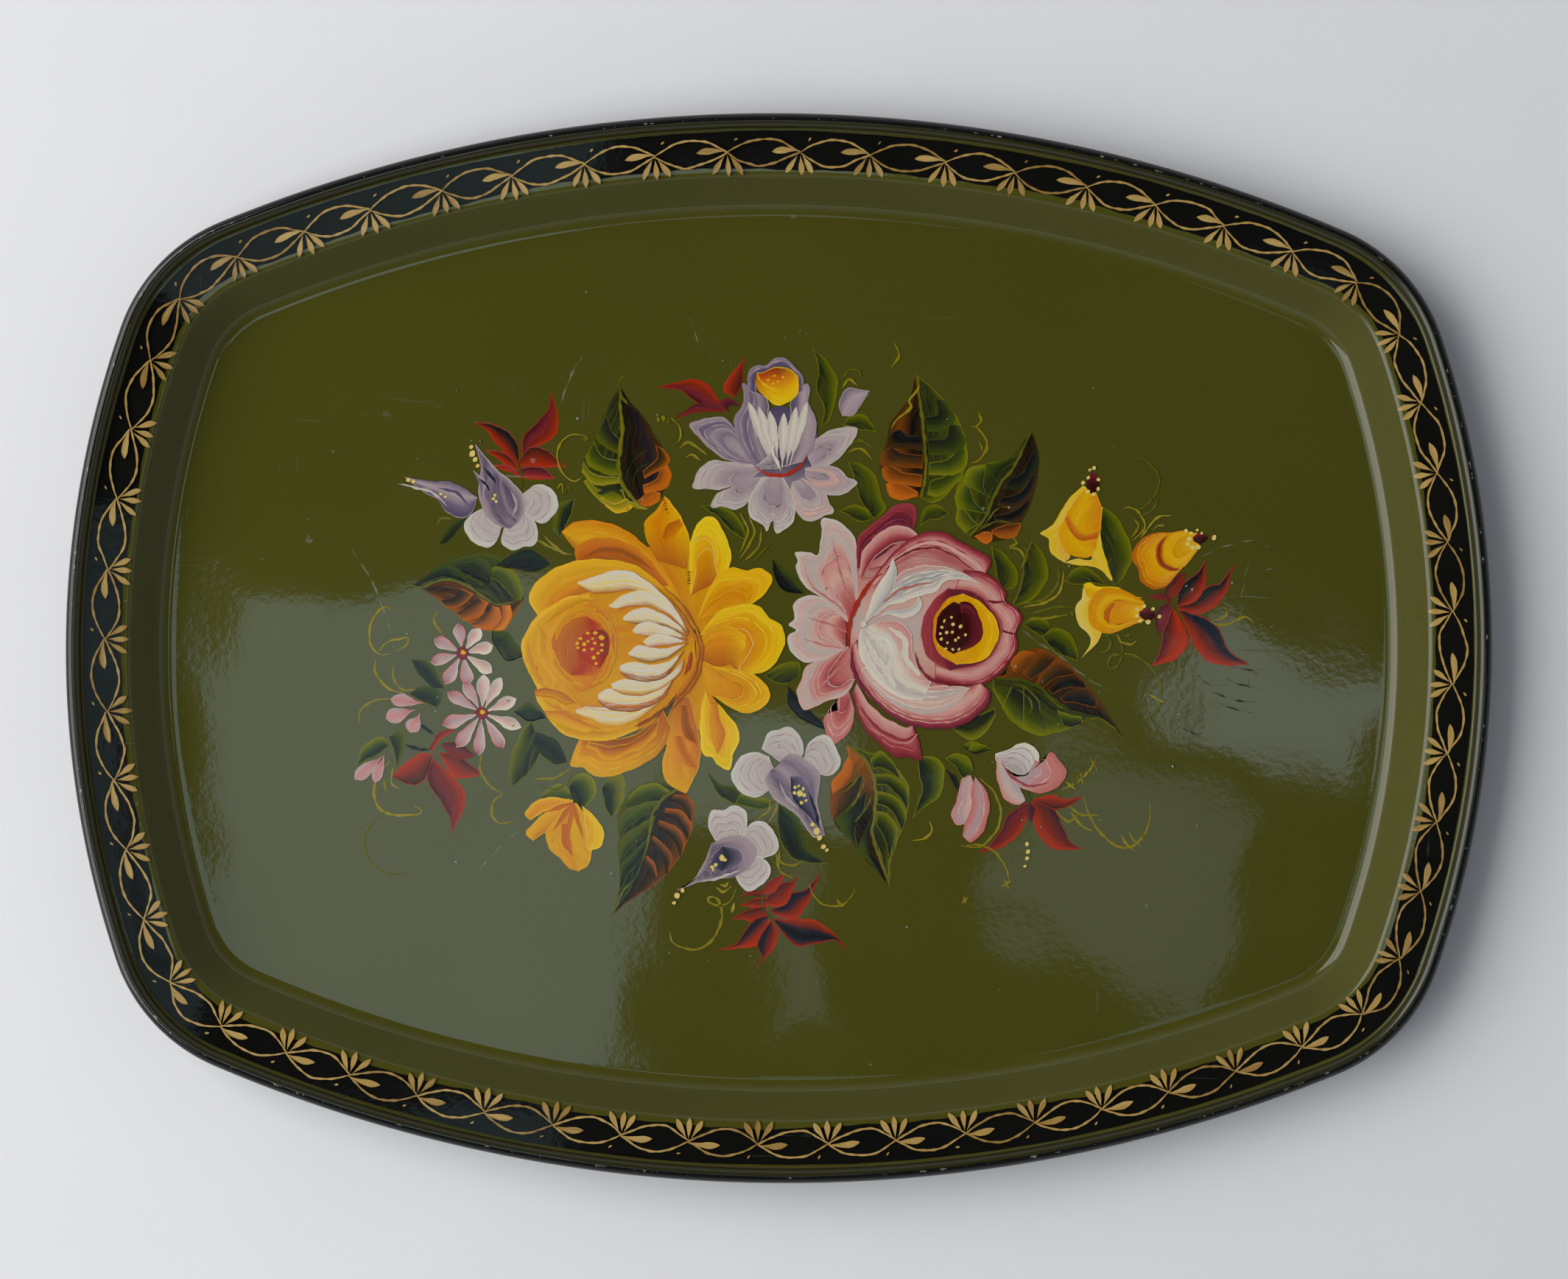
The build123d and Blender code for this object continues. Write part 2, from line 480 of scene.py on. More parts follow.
# ---- the pressed sheet ----------------------------------------------------------------------
def build_sheet():
    """The whole lacquered sheet as one closed skin, finer than the solid it stands for."""
    turns, rings = 560, 8  # steps round the outline, and across the floor to its middle
    far = 50.0  # the distance past the crest that stands for "nowhere near it"
    run = np.linspace(0, PERIMETER, turns, endpoint=False)
    edge, outward = outline(run)
    back = section_side(-1)
    loop = np.concatenate([PAINTED_FACE, back[::-1]])
    plan = edge[:, None, :] - outward[:, None, :] * loop[None, :, 0:1]
    height = np.broadcast_to(loop[None, :, 1:2], (turns, len(loop), 1))
    rim = np.concatenate([plan, height], axis=-1)
    steps = np.linalg.norm(np.diff(PAINTED_FACE, axis=0), axis=1)
    along = np.concatenate([[0], np.cumsum(steps)])
    past = np.concatenate([along - along[CREST], np.full(len(back), far)])
    points = [rim.reshape(-1, 3)]
    past_crest = [np.tile(past, turns)]
    faces = [grid_faces(turns, len(loop), closed=True)]
    for side, column in ((1, 0), (-1, len(loop) - 1)):
        first = sum(len(block) for block in points)
        shrink = np.linspace(1, 0, rings + 1)[1:-1]
        ring = rim[:, column, None, :] * np.stack([shrink, shrink, np.ones(rings - 1)], -1)
        middle = np.array([[0, 0, rim[0, column, 2]]])
        points += [ring.reshape(-1, 3), middle]
        past_crest += [np.full(turns * (rings - 1), -far * side), [-far * side]]
        floor_faces = grid_faces(turns, rings - 1, closed=True) + first
        here = np.arange(turns)
        there = (here + 1) % turns
        rim_here = here * len(loop) + column
        rim_there = there * len(loop) + column
        ring_here = first + here * (rings - 1)
        ring_there = first + there * (rings - 1)
        join = np.stack([ring_here, ring_there, rim_there, rim_here], axis=-1)
        last_here = ring_here + rings - 2
        last_there = ring_there + rings - 2
        centre = np.full(turns, first + turns * (rings - 1))
        fan = np.stack([last_here, last_there, centre], axis=-1)
        faces += [floor_faces, join]
        fans = fan if side == 1 else np.concatenate([fans, fan])
    all_faces = np.concatenate(faces).tolist() + fans.tolist()
    piece = make_object(
        "lacquered_sheet",
        np.concatenate(points),
        all_faces,
        {"past_crest": np.concatenate(past_crest)},
        green_lacquer(),
    )
    face_outward(piece)
    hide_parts("tray_sheet")
    return piece


# ---- paint: thin closed patches between two brushed edges --------------------------------------
def smooth_curve(points):
    """Dense points on a smooth curve through given ones; one given twice is a corner."""
    points = [np.array(point, float) for point in points]
    runs = [[points[0]]]
    for before, after in zip(points, points[1:]):
        if np.allclose(before, after):
            runs.append([after])
        else:
            runs[-1].append(after)
    dense = []
    share = np.linspace(0, 1, 12, endpoint=False)[:, None]
    for run in runs:
        if len(run) < 2:
            continue
        padded = [2 * run[0] - run[1], *run, 2 * run[-1] - run[-2]]
        for p, q, r, s in zip(padded, padded[1:], padded[2:], padded[3:]):
            bend = 2 * p - 5 * q + 4 * r - s
            twist = 3 * q - p - 3 * r + s
            dense.append(q + 0.5 * ((r - p) * share + bend * share**2 + twist * share**3))
        dense.append(run[-1][None, :])
    return np.concatenate(dense)


def evenly(dense, count):
    """count points spaced evenly by length along a dense curve."""
    steps = np.linalg.norm(np.diff(dense, axis=0), axis=1)
    run = np.concatenate([[0], np.cumsum(steps)])
    at = np.linspace(0, run[-1], count)
    return np.stack([np.interp(at, run, dense[:, axis]) for axis in (0, 1)], axis=-1)


def length_of(dense):
    return np.linalg.norm(np.diff(dense, axis=0), axis=1).sum()


class Painting:
    """Strokes of one motif, each laid a hair above the last, gathered in one piece."""

    def __init__(self, name, place=on_floor, first_lift=0.02, wobble=0.12, spacing=0.6):
        self.name = name
        self.place = place
        self.lift = first_lift
        self.wobble = wobble
        self.spacing = spacing
        self.points = []
        self.faces = []
        self.layers = {key: [] for key in ("paint", "paint_light", "paint_edge", "flow", "gap")}
        self.count = 0

    def shaky(self, dense):
        """A hand's small unevenness, across the curve and fading out at its ends."""
        if self.wobble == 0 or len(dense) < 4:
            return dense
        steps = np.linalg.norm(np.diff(dense, axis=0), axis=1)
        run = np.concatenate([[0], np.cumsum(steps)])
        along = np.gradient(dense, axis=0)
        along /= np.linalg.norm(along, axis=1, keepdims=True) + 1e-9
        shift = np.zeros(len(dense))
        for wave in (7.0, 3.1, 1.4):
            shift += np.sin(run / wave * 2 * math.pi + random.uniform(0, 6.3)) * wave / 7
        fade = np.sin(np.linspace(0, math.pi, len(dense))) ** 0.5
        across = np.stack([-along[:, 1], along[:, 0]], axis=-1)
        return dense + across * (shift * fade * self.wobble)[:, None]

    def patch(self, first, second, tones, start=None, finish=None, edge=None, streak=None,
              free="bt", reach=0.5):
        """Paint between two curves.  tones run from the first curve to the second; start and
        finish tint its two ends as far as reach; streak is what the bristles mix in; edge is the
        colour of the ridge along the free sides: a is the first curve, b the second, t both ends."""
        first = self.shaky(smooth_curve(first))
        second = self.shaky(smooth_curve(second))
        long = max(length_of(first), length_of(second))
        rows = max(4, int(long / self.spacing) + 2)
        first = evenly(first, rows)
        second = evenly(second, rows)
        width = np.linalg.norm(second - first, axis=1)
        columns = max(3, int(width.max() / self.spacing) + 2)
        share = np.linspace(0, 1, columns)[None, :, None]
        plan = first[:, None, :] * (1 - share) + second[:, None, :] * share
        along = np.linspace(0, 1, rows)[:, None]
        across = np.linspace(0, 1, columns)[None, :]

        palette = np.array([PALETTE[tone] for tone in tones.split()])
        at = np.linspace(0, 1, len(palette))
        line = np.stack([np.interp(across[0], at, palette[:, i]) for i in range(3)], axis=-1)
        colour = np.broadcast_to(line[None, :, :], (rows, columns, 3)).copy()
        for name, near in ((start, 1 - along), (finish, along)):
            if name:
                weight = np.clip((near - 1 + reach) / reach, 0, 1) ** 1.3
                colour += (PALETTE[name] - colour) * weight[..., None]
        light = np.broadcast_to(PALETTE[streak], colour.shape) if streak else colour * 1.28 + 0.01
        ridge = np.broadcast_to(PALETTE[edge], colour.shape) if edge else colour
        reach_in = across * width[:, None]
        run = np.broadcast_to(along * long, reach_in.shape)
        gaps = [np.full((rows, columns), 9.0)]
        if "a" in free:
            gaps.append(reach_in)
        if "b" in free:
            gaps.append((1 - across) * width[:, None])
        if "t" in free:
            gaps.append(np.minimum(run, long - run))
        gap = np.minimum.reduce(gaps)
        seed = random.uniform(0, 900)
        flow = np.stack([reach_in, run, np.full(reach_in.shape, seed)], -1)
        self.lay(plan, colour, light, ridge, flow, gap)

    def lay(self, plan, colour, light, ridge, flow, gap):
        """Adds one grid of paint as a closed sheet, its back sunk in what is under it."""
        rows, columns = plan.shape[:2]
        top = self.place(plan[..., 0], plan[..., 1], self.lift)
        under = self.place(plan[..., 0], plan[..., 1], -SUNK)
        size = rows * columns
        faces = grid_faces(rows, columns)
        index = np.arange(size).reshape(rows, columns)
        rim = np.concatenate([index[0, :-1], index[:-1, -1], index[-1, :0:-1], index[:0:-1, 0]])
        after = np.roll(rim, -1)
        sides = np.stack([rim, after, after + size, rim + size], axis=-1)
        onward = np.diff(plan[:, 0], axis=0).sum(0)
        sideways = plan[:, -1].mean(0) - plan[:, 0].mean(0)
        turned = onward[0] * sideways[1] - onward[1] * sideways[0] < 0
        block = np.concatenate([faces, faces[:, ::-1] + size, sides[:, ::-1]])
        if turned:
            block = block[:, ::-1]
        self.points.append(np.concatenate([top.reshape(-1, 3), under.reshape(-1, 3)]))
        self.faces.append(block + self.count)
        self.count += 2 * size
        for key, values in zip(self.layers, (colour, light, ridge, flow, gap)):
            flat = values.reshape(size, -1)
            self.layers[key].append(np.concatenate([flat, flat]))
        self.lift += LAYER

    def line(self, points, width, tone, streak=None, taper=(0.15, 0.15), edge=None):
        """A single brush line, thinned at its ends to taper's shares of its width."""
        middle = smooth_curve(points)
        middle = evenly(middle, max(6, int(length_of(middle) / 0.5)))
        along = np.gradient(middle, axis=0)
        along /= np.linalg.norm(along, axis=1, keepdims=True)
        across = np.stack([-along[:, 1], along[:, 0]], axis=-1)
        at = np.linspace(0, 1, len(middle))
        swell = np.interp(at, (0, 0.3, 0.7, 1), (taper[0], 1, 1, taper[1]))
        swell *= 1 + 0.18 * np.sin(at * length_of(middle) * 1.7 + random.uniform(0, 6))
        half = across * (swell * width / 2)[:, None]
        tones = tone if " " in tone else tone + " " + tone
        self.patch(middle - half, middle + half, tones, streak=streak, edge=edge)

    def leaf(self, base, tip, width, tones, bow=0.0, fullest=0.55, **options):
        """A pointed brush mark from base to tip; bow bends it to its left."""
        base, tip = np.array(base, float), np.array(tip, float)
        along = tip - base
        long = np.linalg.norm(along)
        left = np.array([-along[1], along[0]]) / long
        at = np.linspace(0, 1, 12)
        middle = base + along * at[:, None] + left * (4 * bow * at * (1 - at))[:, None]
        power = math.log(0.5) / math.log(fullest)
        half = left * (width / 2 * np.sin(math.pi * at**power) ** 0.8)[:, None]
        self.patch(middle - half, middle + half, tones, **options)

    def dot(self, x, y, long, wide, tone, turn=0.0, **options):
        """A daub of paint, turned by degrees."""
        angle = math.radians(turn)
        reach = np.array([math.cos(angle), math.sin(angle)]) * long / 2
        self.leaf((x, y) - reach, (x, y) + reach, wide, tone + " " + tone, fullest=0.5, **options)

    def build(self, material):
        points = np.concatenate(self.points)
        faces = np.concatenate(self.faces).tolist()
        attributes = {}
        for key, blocks in self.layers.items():
            values = np.concatenate(blocks)
            attributes[key] = values[:, 0] if values.shape[1] == 1 else values
        piece = make_object(self.name, points, faces, attributes, material)
        weld, sliver = 1.2e-6, 1e-7  # metres: joins the points of pointed ends, but no two strokes
        skin = bmesh.new()
        skin.from_mesh(piece.data)
        bmesh.ops.remove_doubles(skin, verts=skin.verts, dist=weld)
        bmesh.ops.dissolve_degenerate(skin, edges=skin.edges, dist=sliver)
        bmesh.ops.recalc_face_normals(skin, faces=skin.faces)
        skin.to_mesh(piece.data)
        skin.free()
        piece.data.set_sharp_from_angle(angle=SMOOTH_ANGLE)
        return piece


# ---- the rim: black band and gold border -----------------------------------------------------
def build_band():
    """The black band on the flange; its inner edge, on the shoulder, is brushed by eye."""
    turns, rows = 1500, 14
    run = np.linspace(0, PERIMETER, turns, endpoint=False)
    inner = np.full(turns, 17.4)
    outer = np.full(turns, crease_inset + 0.35)
    for waves, size in ((9, 0.35), (23, 0.22), (61, 0.14), (140, 0.10)):
        inner += size * np.sin(run / PERIMETER * 2 * math.pi * waves + random.uniform(0, 6))
        outer += size * 0.3 * np.sin(run / PERIMETER * 2 * math.pi * waves + random.uniform(0, 6))
    share = np.linspace(0, 1, rows)
    inset = outer[:, None] * (1 - share) + inner[:, None] * share
    around = np.broadcast_to(run[:, None], inset.shape)
    top = on_rim(around, inset, 0.015)
    under = on_rim(around, inset, -SUNK)[:, ::-1]
    loop = np.concatenate([top, under], axis=1)
    faces = grid_faces(turns, 2 * rows, closed=True)
    start = np.arange(turns) * 2 * rows
    after = np.roll(start, -1)
    seam = np.stack([start + 2 * rows - 1, after + 2 * rows - 1, after, start], axis=-1)
    every = np.concatenate([faces, seam]).tolist()
    piece = make_object("black_band", loop.reshape(-1, 3), every, {}, black_lacquer())
    piece.data.set_sharp_from_angle(angle=SMOOTH_ANGLE)
    return piece


def build_border():
    """Two gold lines that cross at every motif, each motif with a leaf, three petals and a dot."""
    motifs = 56
    first_motif = 3.4
    mid_band = 11.0
    top_middle = PERIMETER / 4
    mid_length = PERIMETER - 2 * math.pi * mid_band
    dense = np.linspace(0, PERIMETER, 20001)
    radius = np.array(ARCS)[np.clip(np.searchsorted(ARC_STARTS, dense, side="right") - 1, 0, 8), 2]
    mid_run = np.concatenate([[0], np.cumsum(np.diff(dense) * (1 - mid_band / radius[1:]))])
    start = np.interp(top_middle - first_motif, dense, mid_run)
    pitch = mid_length / motifs

    def place(along, inset, lift):
        """along is measured clockwise on the middle of the band, from the first motif."""
        on_middle = np.mod(start - along, mid_length)
        return on_rim(np.interp(on_middle, mid_run, dense), inset, lift)

    border = Painting("gold_border", place=place, first_lift=0.025, wobble=0.06, spacing=0.55)
    nodes_at = np.arange(motifs) * pitch + random.normal(0, 0.35, motifs)
    # the spacing drifts round the tray
    nodes_at += 2.0 + 4.6 * np.sin(2 * math.pi * nodes_at / mid_length)
    nodes_at = np.append(nodes_at, nodes_at[0] + mid_length)
    for at, after in zip(nodes_at, nodes_at[1:]):
        def spot(along, inset, gap=after - at, at=at):
            return at + along * gap, inset + random.normal(0, 0.12)

        tone = random.choice(["leafgold", "leafgold", "oldgold"])
        options = {"streak": "palegold"}
        # points of the two strands: share of the way to the next motif, and inset
        outer = [spot(0.0, 12.1), spot(0.16, 10.1), spot(0.33, 8.5), spot(0.52, 7.9),
                 spot(0.72, 8.6), spot(0.88, 10.4), spot(1.0, 11.9)]
        inner = [spot(0.0, 12.2), spot(0.15, 14.4), spot(0.3, 16.0), spot(0.45, 16.5),
                 spot(0.64, 15.8), spot(0.82, 14.1), spot(1.0, 12.1)]
        for line in (outer, inner):
            border.line(line, 0.66, tone, taper=(0.55, 0.8), **options)
        tones = tone + " " + tone
        leaf_tip = (at - 9.8 + random.normal(0, 0.4), 12.0 + random.normal(0, 0.25))
        border.leaf((at + 0.2, 11.8), leaf_tip, 2.1, tones, bow=0.5, fullest=0.66, **options)
        # three petals: where the foot and the tip stand from the motif, the tip's inset, and width
        for root, tip, inset, width in (
            (-0.6, -4.6, 18.9, 1.75), (0.1, 0.1, 19.4, 1.85), (0.7, 4.5, 18.9, 1.9)
        ):
            tip_at = (at + tip + random.normal(0, 0.3), inset + random.normal(0, 0.2))
            border.leaf((at + root, 12.8), tip_at, width, tones, fullest=0.68, **options)
        border.dot(at + 3.0, 8.0, 1.5, 0.62, tone, turn=-35 + random.normal(0, 12), **options)
    return border.build(oil_paint("gold_paint"))


# ---- the bouquet: leaves ------------------------------------------------------------------------
def paint_left_leaves(p):
    # the broad leaf at the far left: green above its rib, burnt orange below
    rib = [(-125, 17.5), (-121, 19.5), (-117, 19), (-110, 21.5), (-103, 20), (-97, 16), (-92, 13.5),
           (-83.5, 15.5)]
    p.patch([(-125, 17.5), (-119, 20.5), (-113, 25), (-107, 28), (-100, 30), (-94, 30), (-88, 26),
             (-83.5, 15.5)],
            rib, "leaf moss soot forest", start="soot", streak="olive")
    p.patch(rib, [(-125, 17.5), (-119, 19.5), (-113, 16), (-108, 12), (-103, 8.5), (-98, 5.5), (-90, 6),
                  (-83.5, 15.5)],
            "umber black umber copper", start="black", streak="rust")
    p.patch([(-95, 25), (-91, 26.5), (-87, 24.5), (-84, 19), (-84.5, 15)],
            [(-97, 22), (-93, 21.5), (-90, 19), (-88, 16.5), (-86, 15)], "lime leaf moss", edge="lime")
    p.patch([(-107, 27.5), (-102, 29.5), (-97, 29), (-94, 25)],
            [(-110, 23), (-104, 24), (-99, 22), (-95, 20)], "leaf moss soot")
    p.patch([(-113, 24.5), (-109, 26.5), (-105, 25), (-102, 21)],
            [(-117, 20.5), (-111, 22.5), (-106, 22), (-103, 20.5)], "leaf forest soot")
    for first, second, tones in (
        ([(-111, 14.5), (-107, 15.5), (-104, 18.5)], [(-109, 12.5), (-104, 13), (-100, 17)],
         "black umber rust"),
        ([(-106, 10.5), (-102, 12.5), (-98, 15.5)], [(-103, 8), (-98, 9.5), (-95, 14)],
         "black rust copper"),
        ([(-101, 7), (-97, 9), (-94, 13)], [(-99, 5.5), (-94, 5), (-91, 8), (-91.5, 12.5)],
         "umber copper ember"),
        ([(-94, 5), (-91, 9), (-91, 13)], [(-93, 4.5), (-90, 5.5), (-87.5, 9), (-88, 13.5)],
         "rust ember orange"),
    ):
        p.patch(first, second, tones, edge="ember")
    p.line(rib, 0.9, "olive", streak="lime")
    p.line([(-95, 16), (-97, 20), (-103, 22.5), (-108, 24)], 0.5, "leaf")
    p.patch([(-93.5, 26), (-89, 29), (-84, 31.5), (-80, 31), (-76, 28), (-75, 26.5)],
            [(-93.5, 26), (-87, 25), (-80, 24), (-75, 26.5)], "forest soot black", edge="olive")
    # the two-tone leaf above the yellow rose and the one beside the daisies
    p.patch([(-67, 48.5), (-72, 47.8), (-74.5, 46.5), (-75.5, 42), (-75, 38), (-72, 35.5)],
            [(-67, 48.5), (-68, 44), (-70, 39), (-72, 35.5)], "leaf olive forest soot", edge="lime")
    p.patch([(-94, 5), (-89, 4.5), (-86, 1), (-83, -3)], [(-94, 2), (-91, -3), (-88, -5), (-83, -3)],
            "leaf forest soot", streak="olive")
    p.patch([(-112, 32), (-110.5, 36), (-107, 40.5), (-102, 42)], [(-112, 32), (-107, 35), (-102, 42)],
            "leaf forest soot", edge="olive")
    # round the daisies and the pink buds
    p.patch([(-138, -40), (-136.5, -34.5), (-133, -31), (-129, -30.3), (-127.3, -33)],
            [(-138, -40), (-134, -37.5), (-131, -36), (-127.3, -33)], "lime leaf forest soot",
            edge="lime")
    p.patch([(-127.5, -30), (-124.5, -27.8), (-121.8, -28.5), (-122.5, -34), (-125, -40.5)],
            [(-127.5, -30), (-126.5, -33), (-125.5, -36), (-125, -40.5)], "olive leaf moss soot",
            edge="lime")
    p.patch([(-121, -16), (-117, -13.5), (-112, -13.7), (-110, -17), (-112, -20.5)],
            [(-121, -16), (-118, -18), (-115, -19), (-112, -20.5)], "leaf forest soot", edge="lime")
    p.patch([(-120.5, -4.5), (-118, -9), (-113.5, -13.5), (-109.5, -14)],
            [(-120.5, -4.5), (-115, -5), (-112, -9), (-109.5, -14)], "forest soot leaf", edge="olive")
    p.patch([(-87.5, -46.5), (-88, -40), (-86.8, -34), (-83.5, -27), (-80.5, -24.5)],
            [(-87.5, -46.5), (-83, -43), (-79, -38), (-78, -33), (-80.5, -24.5)],
            "lime leaf forest soot black", streak="olive", edge="lime")
    p.patch([(-79.5, -28), (-75, -29.5), (-71.5, -32), (-69, -38)],
            [(-81, -32), (-77, -36), (-73, -38.5), (-69, -38)], "moss soot forest", edge="olive")
    p.patch([(-86.5, -21.5), (-82, -18.5), (-78, -21)], [(-86.5, -21.5), (-82, -24.5), (-76, -23.5)],
            "leaf forest soot")


def paint_lower_leaves(p):
    # three small ones over the little yellow flower
    p.patch([(-78, -49.5), (-74.5, -46), (-70, -45.2), (-67, -49)],
            [(-78, -49.5), (-74, -51), (-70, -51), (-67, -49)], "lime leaf soot", edge="lime")
    p.patch([(-68.5, -46), (-66, -42), (-62.5, -41.5), (-59.5, -45), (-60, -49), (-65, -55)],
            [(-68.5, -46), (-68, -49), (-67.5, -51.5), (-65, -55)], "lime leaf black moss", edge="lime")
    p.patch([(-57.5, -46), (-55, -42), (-51.3, -41.5), (-50, -46), (-51.2, -52), (-54.5, -56)],
            [(-57.5, -46), (-57.3, -49), (-56.3, -53), (-54.5, -56)], "lime olive forest soot",
            edge="lime")
    # the big leaf below the yellow rose
    rib = [(-33, -46.5), (-38, -50), (-41, -55), (-42, -62), (-44, -70), (-47.5, -78), (-54, -88)]
    p.patch([(-33, -46.5), (-38, -44.2), (-44, -44.5), (-49, -48), (-52.5, -55), (-52, -61), (-52.3, -66),
             (-51.5, -74), (-52, -81), (-54, -88)], rib, "olive moss forest soot night", streak="leaf",
            edge="leaf")
    p.patch(rib, [(-33, -46.5), (-29, -49), (-27.3, -54), (-28.3, -60), (-31, -67), (-35, -73),
                  (-41, -78.5), (-48, -83), (-54, -88)], "soot night umber rust", finish="black",
            streak="umber", edge="rust")
    for first, second, tones in (
        ([(-35, -47), (-40, -44.5), (-45, -45.5), (-49, -49)],
         [(-37, -49), (-41, -48.5), (-46, -51), (-50, -53)], "lime leaf moss"),
        ([(-38, -50), (-44, -51), (-50, -53.5), (-52.3, -58)],
         [(-39, -53), (-44, -55.5), (-49, -59), (-51.5, -63)], "olive leaf forest"),
        ([(-40, -55), (-45, -58), (-50, -61.5), (-52, -66)],
         [(-41, -59), (-45, -63), (-49, -67), (-51.5, -72)], "olive leaf soot"),
        ([(-42, -62), (-46, -66), (-50, -70), (-51.5, -75)],
         [(-43, -67), (-46, -71), (-49, -75), (-51.5, -80)], "leaf forest soot"),
    ):
        p.patch(first, second, tones, edge="olive")
    for first, second in (
        ([(-34, -48), (-29.5, -48.8), (-27, -52), (-28, -56)],
         [(-36, -50), (-32, -51.5), (-30, -54), (-29, -57)]),
        ([(-37, -52.5), (-31.5, -53.5), (-28, -58), (-28.8, -62)],
         [(-38, -55), (-34, -56.5), (-31, -60), (-29.5, -63)]),
        ([(-39, -56.5), (-33.5, -58.5), (-30.2, -63), (-31.2, -68)],
         [(-40, -59), (-36, -61.5), (-33, -65), (-31.8, -69)]),
        ([(-41, -61.5), (-37, -64.5), (-34.2, -69), (-35.5, -73.5)],
         [(-42, -64), (-39, -67), (-37, -71), (-36.3, -74.5)]),
        ([(-43, -68), (-40.3, -70.3), (-39.3, -75)], [(-44, -70), (-42, -73), (-40, -76.5)]),
    ):
        p.patch(first, second, "copper rust soot black", streak="umber", edge="umber")
    p.line(rib[:5], 0.9, "olive", streak="lime", taper=(1, 0.3))
    p.line([(-47, -76), (-51, -81), (-54, -88.5)], 0.8, "olive", streak="lime")
    # the bells' own leaves
    p.patch([(-23.5, -40.5), (-19, -44.5), (-13, -46), (-9, -49)],
            [(-23.5, -40.5), (-19.5, -48), (-13, -51.5), (-9, -49)], "leaf moss soot", edge="lime")
    p.patch([(-12, -47), (-8, -48), (-3, -49.5), (0, -49)],
            [(-14, -51), (-8, -52.5), (-3, -52.5), (0, -49)], "lime leaf forest", edge="lime")
    p.patch([(0, -51), (5, -54), (8, -59), (9.5, -65), (16.5, -70.5)],
            [(0, -51), (0, -60), (3, -67), (8, -70), (16.5, -70.5)], "leaf forest soot moss", edge="lime")
    # the big leaf under the pink rose
    rib = [(22, -31), (26, -34), (29, -37), (31.2, -42), (32, -48), (31.5, -56), (31.3, -62), (37, -78)]
    p.patch([(22, -31), (23, -36), (21, -40), (17.8, -44), (17, -50), (18.5, -57), (24, -63), (29, -69),
             (37, -78)],
            rib, "umber soot black forest", start="ember", finish="soot", streak="umber", edge="rust")
    p.patch(rib, [(22, -31), (30, -34), (34, -33.5), (38, -38), (42.5, -44), (42.8, -51), (41, -58),
                  (38.5, -65), (36.5, -71), (37, -78)], "soot moss leaf lime", streak="olive",
            edge="lime")
    for first, second, tones in (
        ([(23, -35), (20.5, -40), (17.5, -44), (18, -48)],
         [(26, -38), (24.5, -43), (21.5, -47), (18, -48)], "ember copper umber"),
        ([(18, -47.5), (17, -51), (18, -56)], [(28, -41), (26.5, -47), (23, -52), (18, -56)],
         "rust umber black"),
        ([(18.5, -56), (22, -61), (26, -65)], [(29.5, -46), (28, -53), (25.5, -58), (26, -65)],
         "leaf forest soot"),
        ([(26, -65.5), (31, -71), (35, -76)], [(31, -54), (29.5, -60), (30, -67), (35, -76)],
         "leaf moss black"),
    ):
        p.patch(first, second, tones, edge="olive")
    for first, second in (
        ([(30, -36), (33.5, -33.7), (37, -36), (39, -39.5)],
         [(31, -39.5), (34, -39), (37, -40.5), (40, -43)]),
        ([(31.5, -41), (36, -41), (41, -43.5), (43, -48)],
         [(32, -44.5), (36, -45), (40, -49), (42.5, -53)]),
        ([(32.3, -46.5), (37, -47.5), (41, -51), (42.3, -55)],
         [(32.3, -51), (36, -52), (39, -56), (40.7, -60)]),
        ([(32.3, -53), (36, -54), (39, -58), (39, -64)],
         [(32.3, -58), (34.5, -61), (36, -66), (37, -71)]),
    ):
        p.patch(first, second, "lime leaf moss soot", edge="lime")
    p.line(rib, 1.1, "olive", streak="straw", taper=(1, 0.3))
    for line in (
        [(26.5, -38), (26, -42), (23, -46), (19, -47.5)], [(28, -40), (28, -44), (26, -49), (22, -54)],
        [(31, -47), (29, -52), (25, -57)], [(32, -62), (34, -68), (37, -78)],
        [(40.5, -57), (38, -64), (37, -70), (37, -78)],
    ):
        p.line(line, 0.55, "olive", streak="straw")
    # small ones by the buds, and the dark one under the pink rose
    p.patch([(45.5, -35), (52, -35.5), (54.5, -40), (53, -48), (49, -51), (44, -55.5)],
            [(45.5, -35), (46, -41), (47, -46), (44, -55.5)], "lime leaf forest soot", edge="lime")
    p.patch([(57, -26), (62, -29.5), (67, -28), (71, -22)], [(57, -26), (61, -23), (66, -21), (71, -19)],
            "lime moss soot", edge="lime")
    p.patch([(60, -31.5), (64, -30), (70, -32.5)], [(60, -31.5), (64, -34), (70, -32.5)],
            "lime leaf soot")
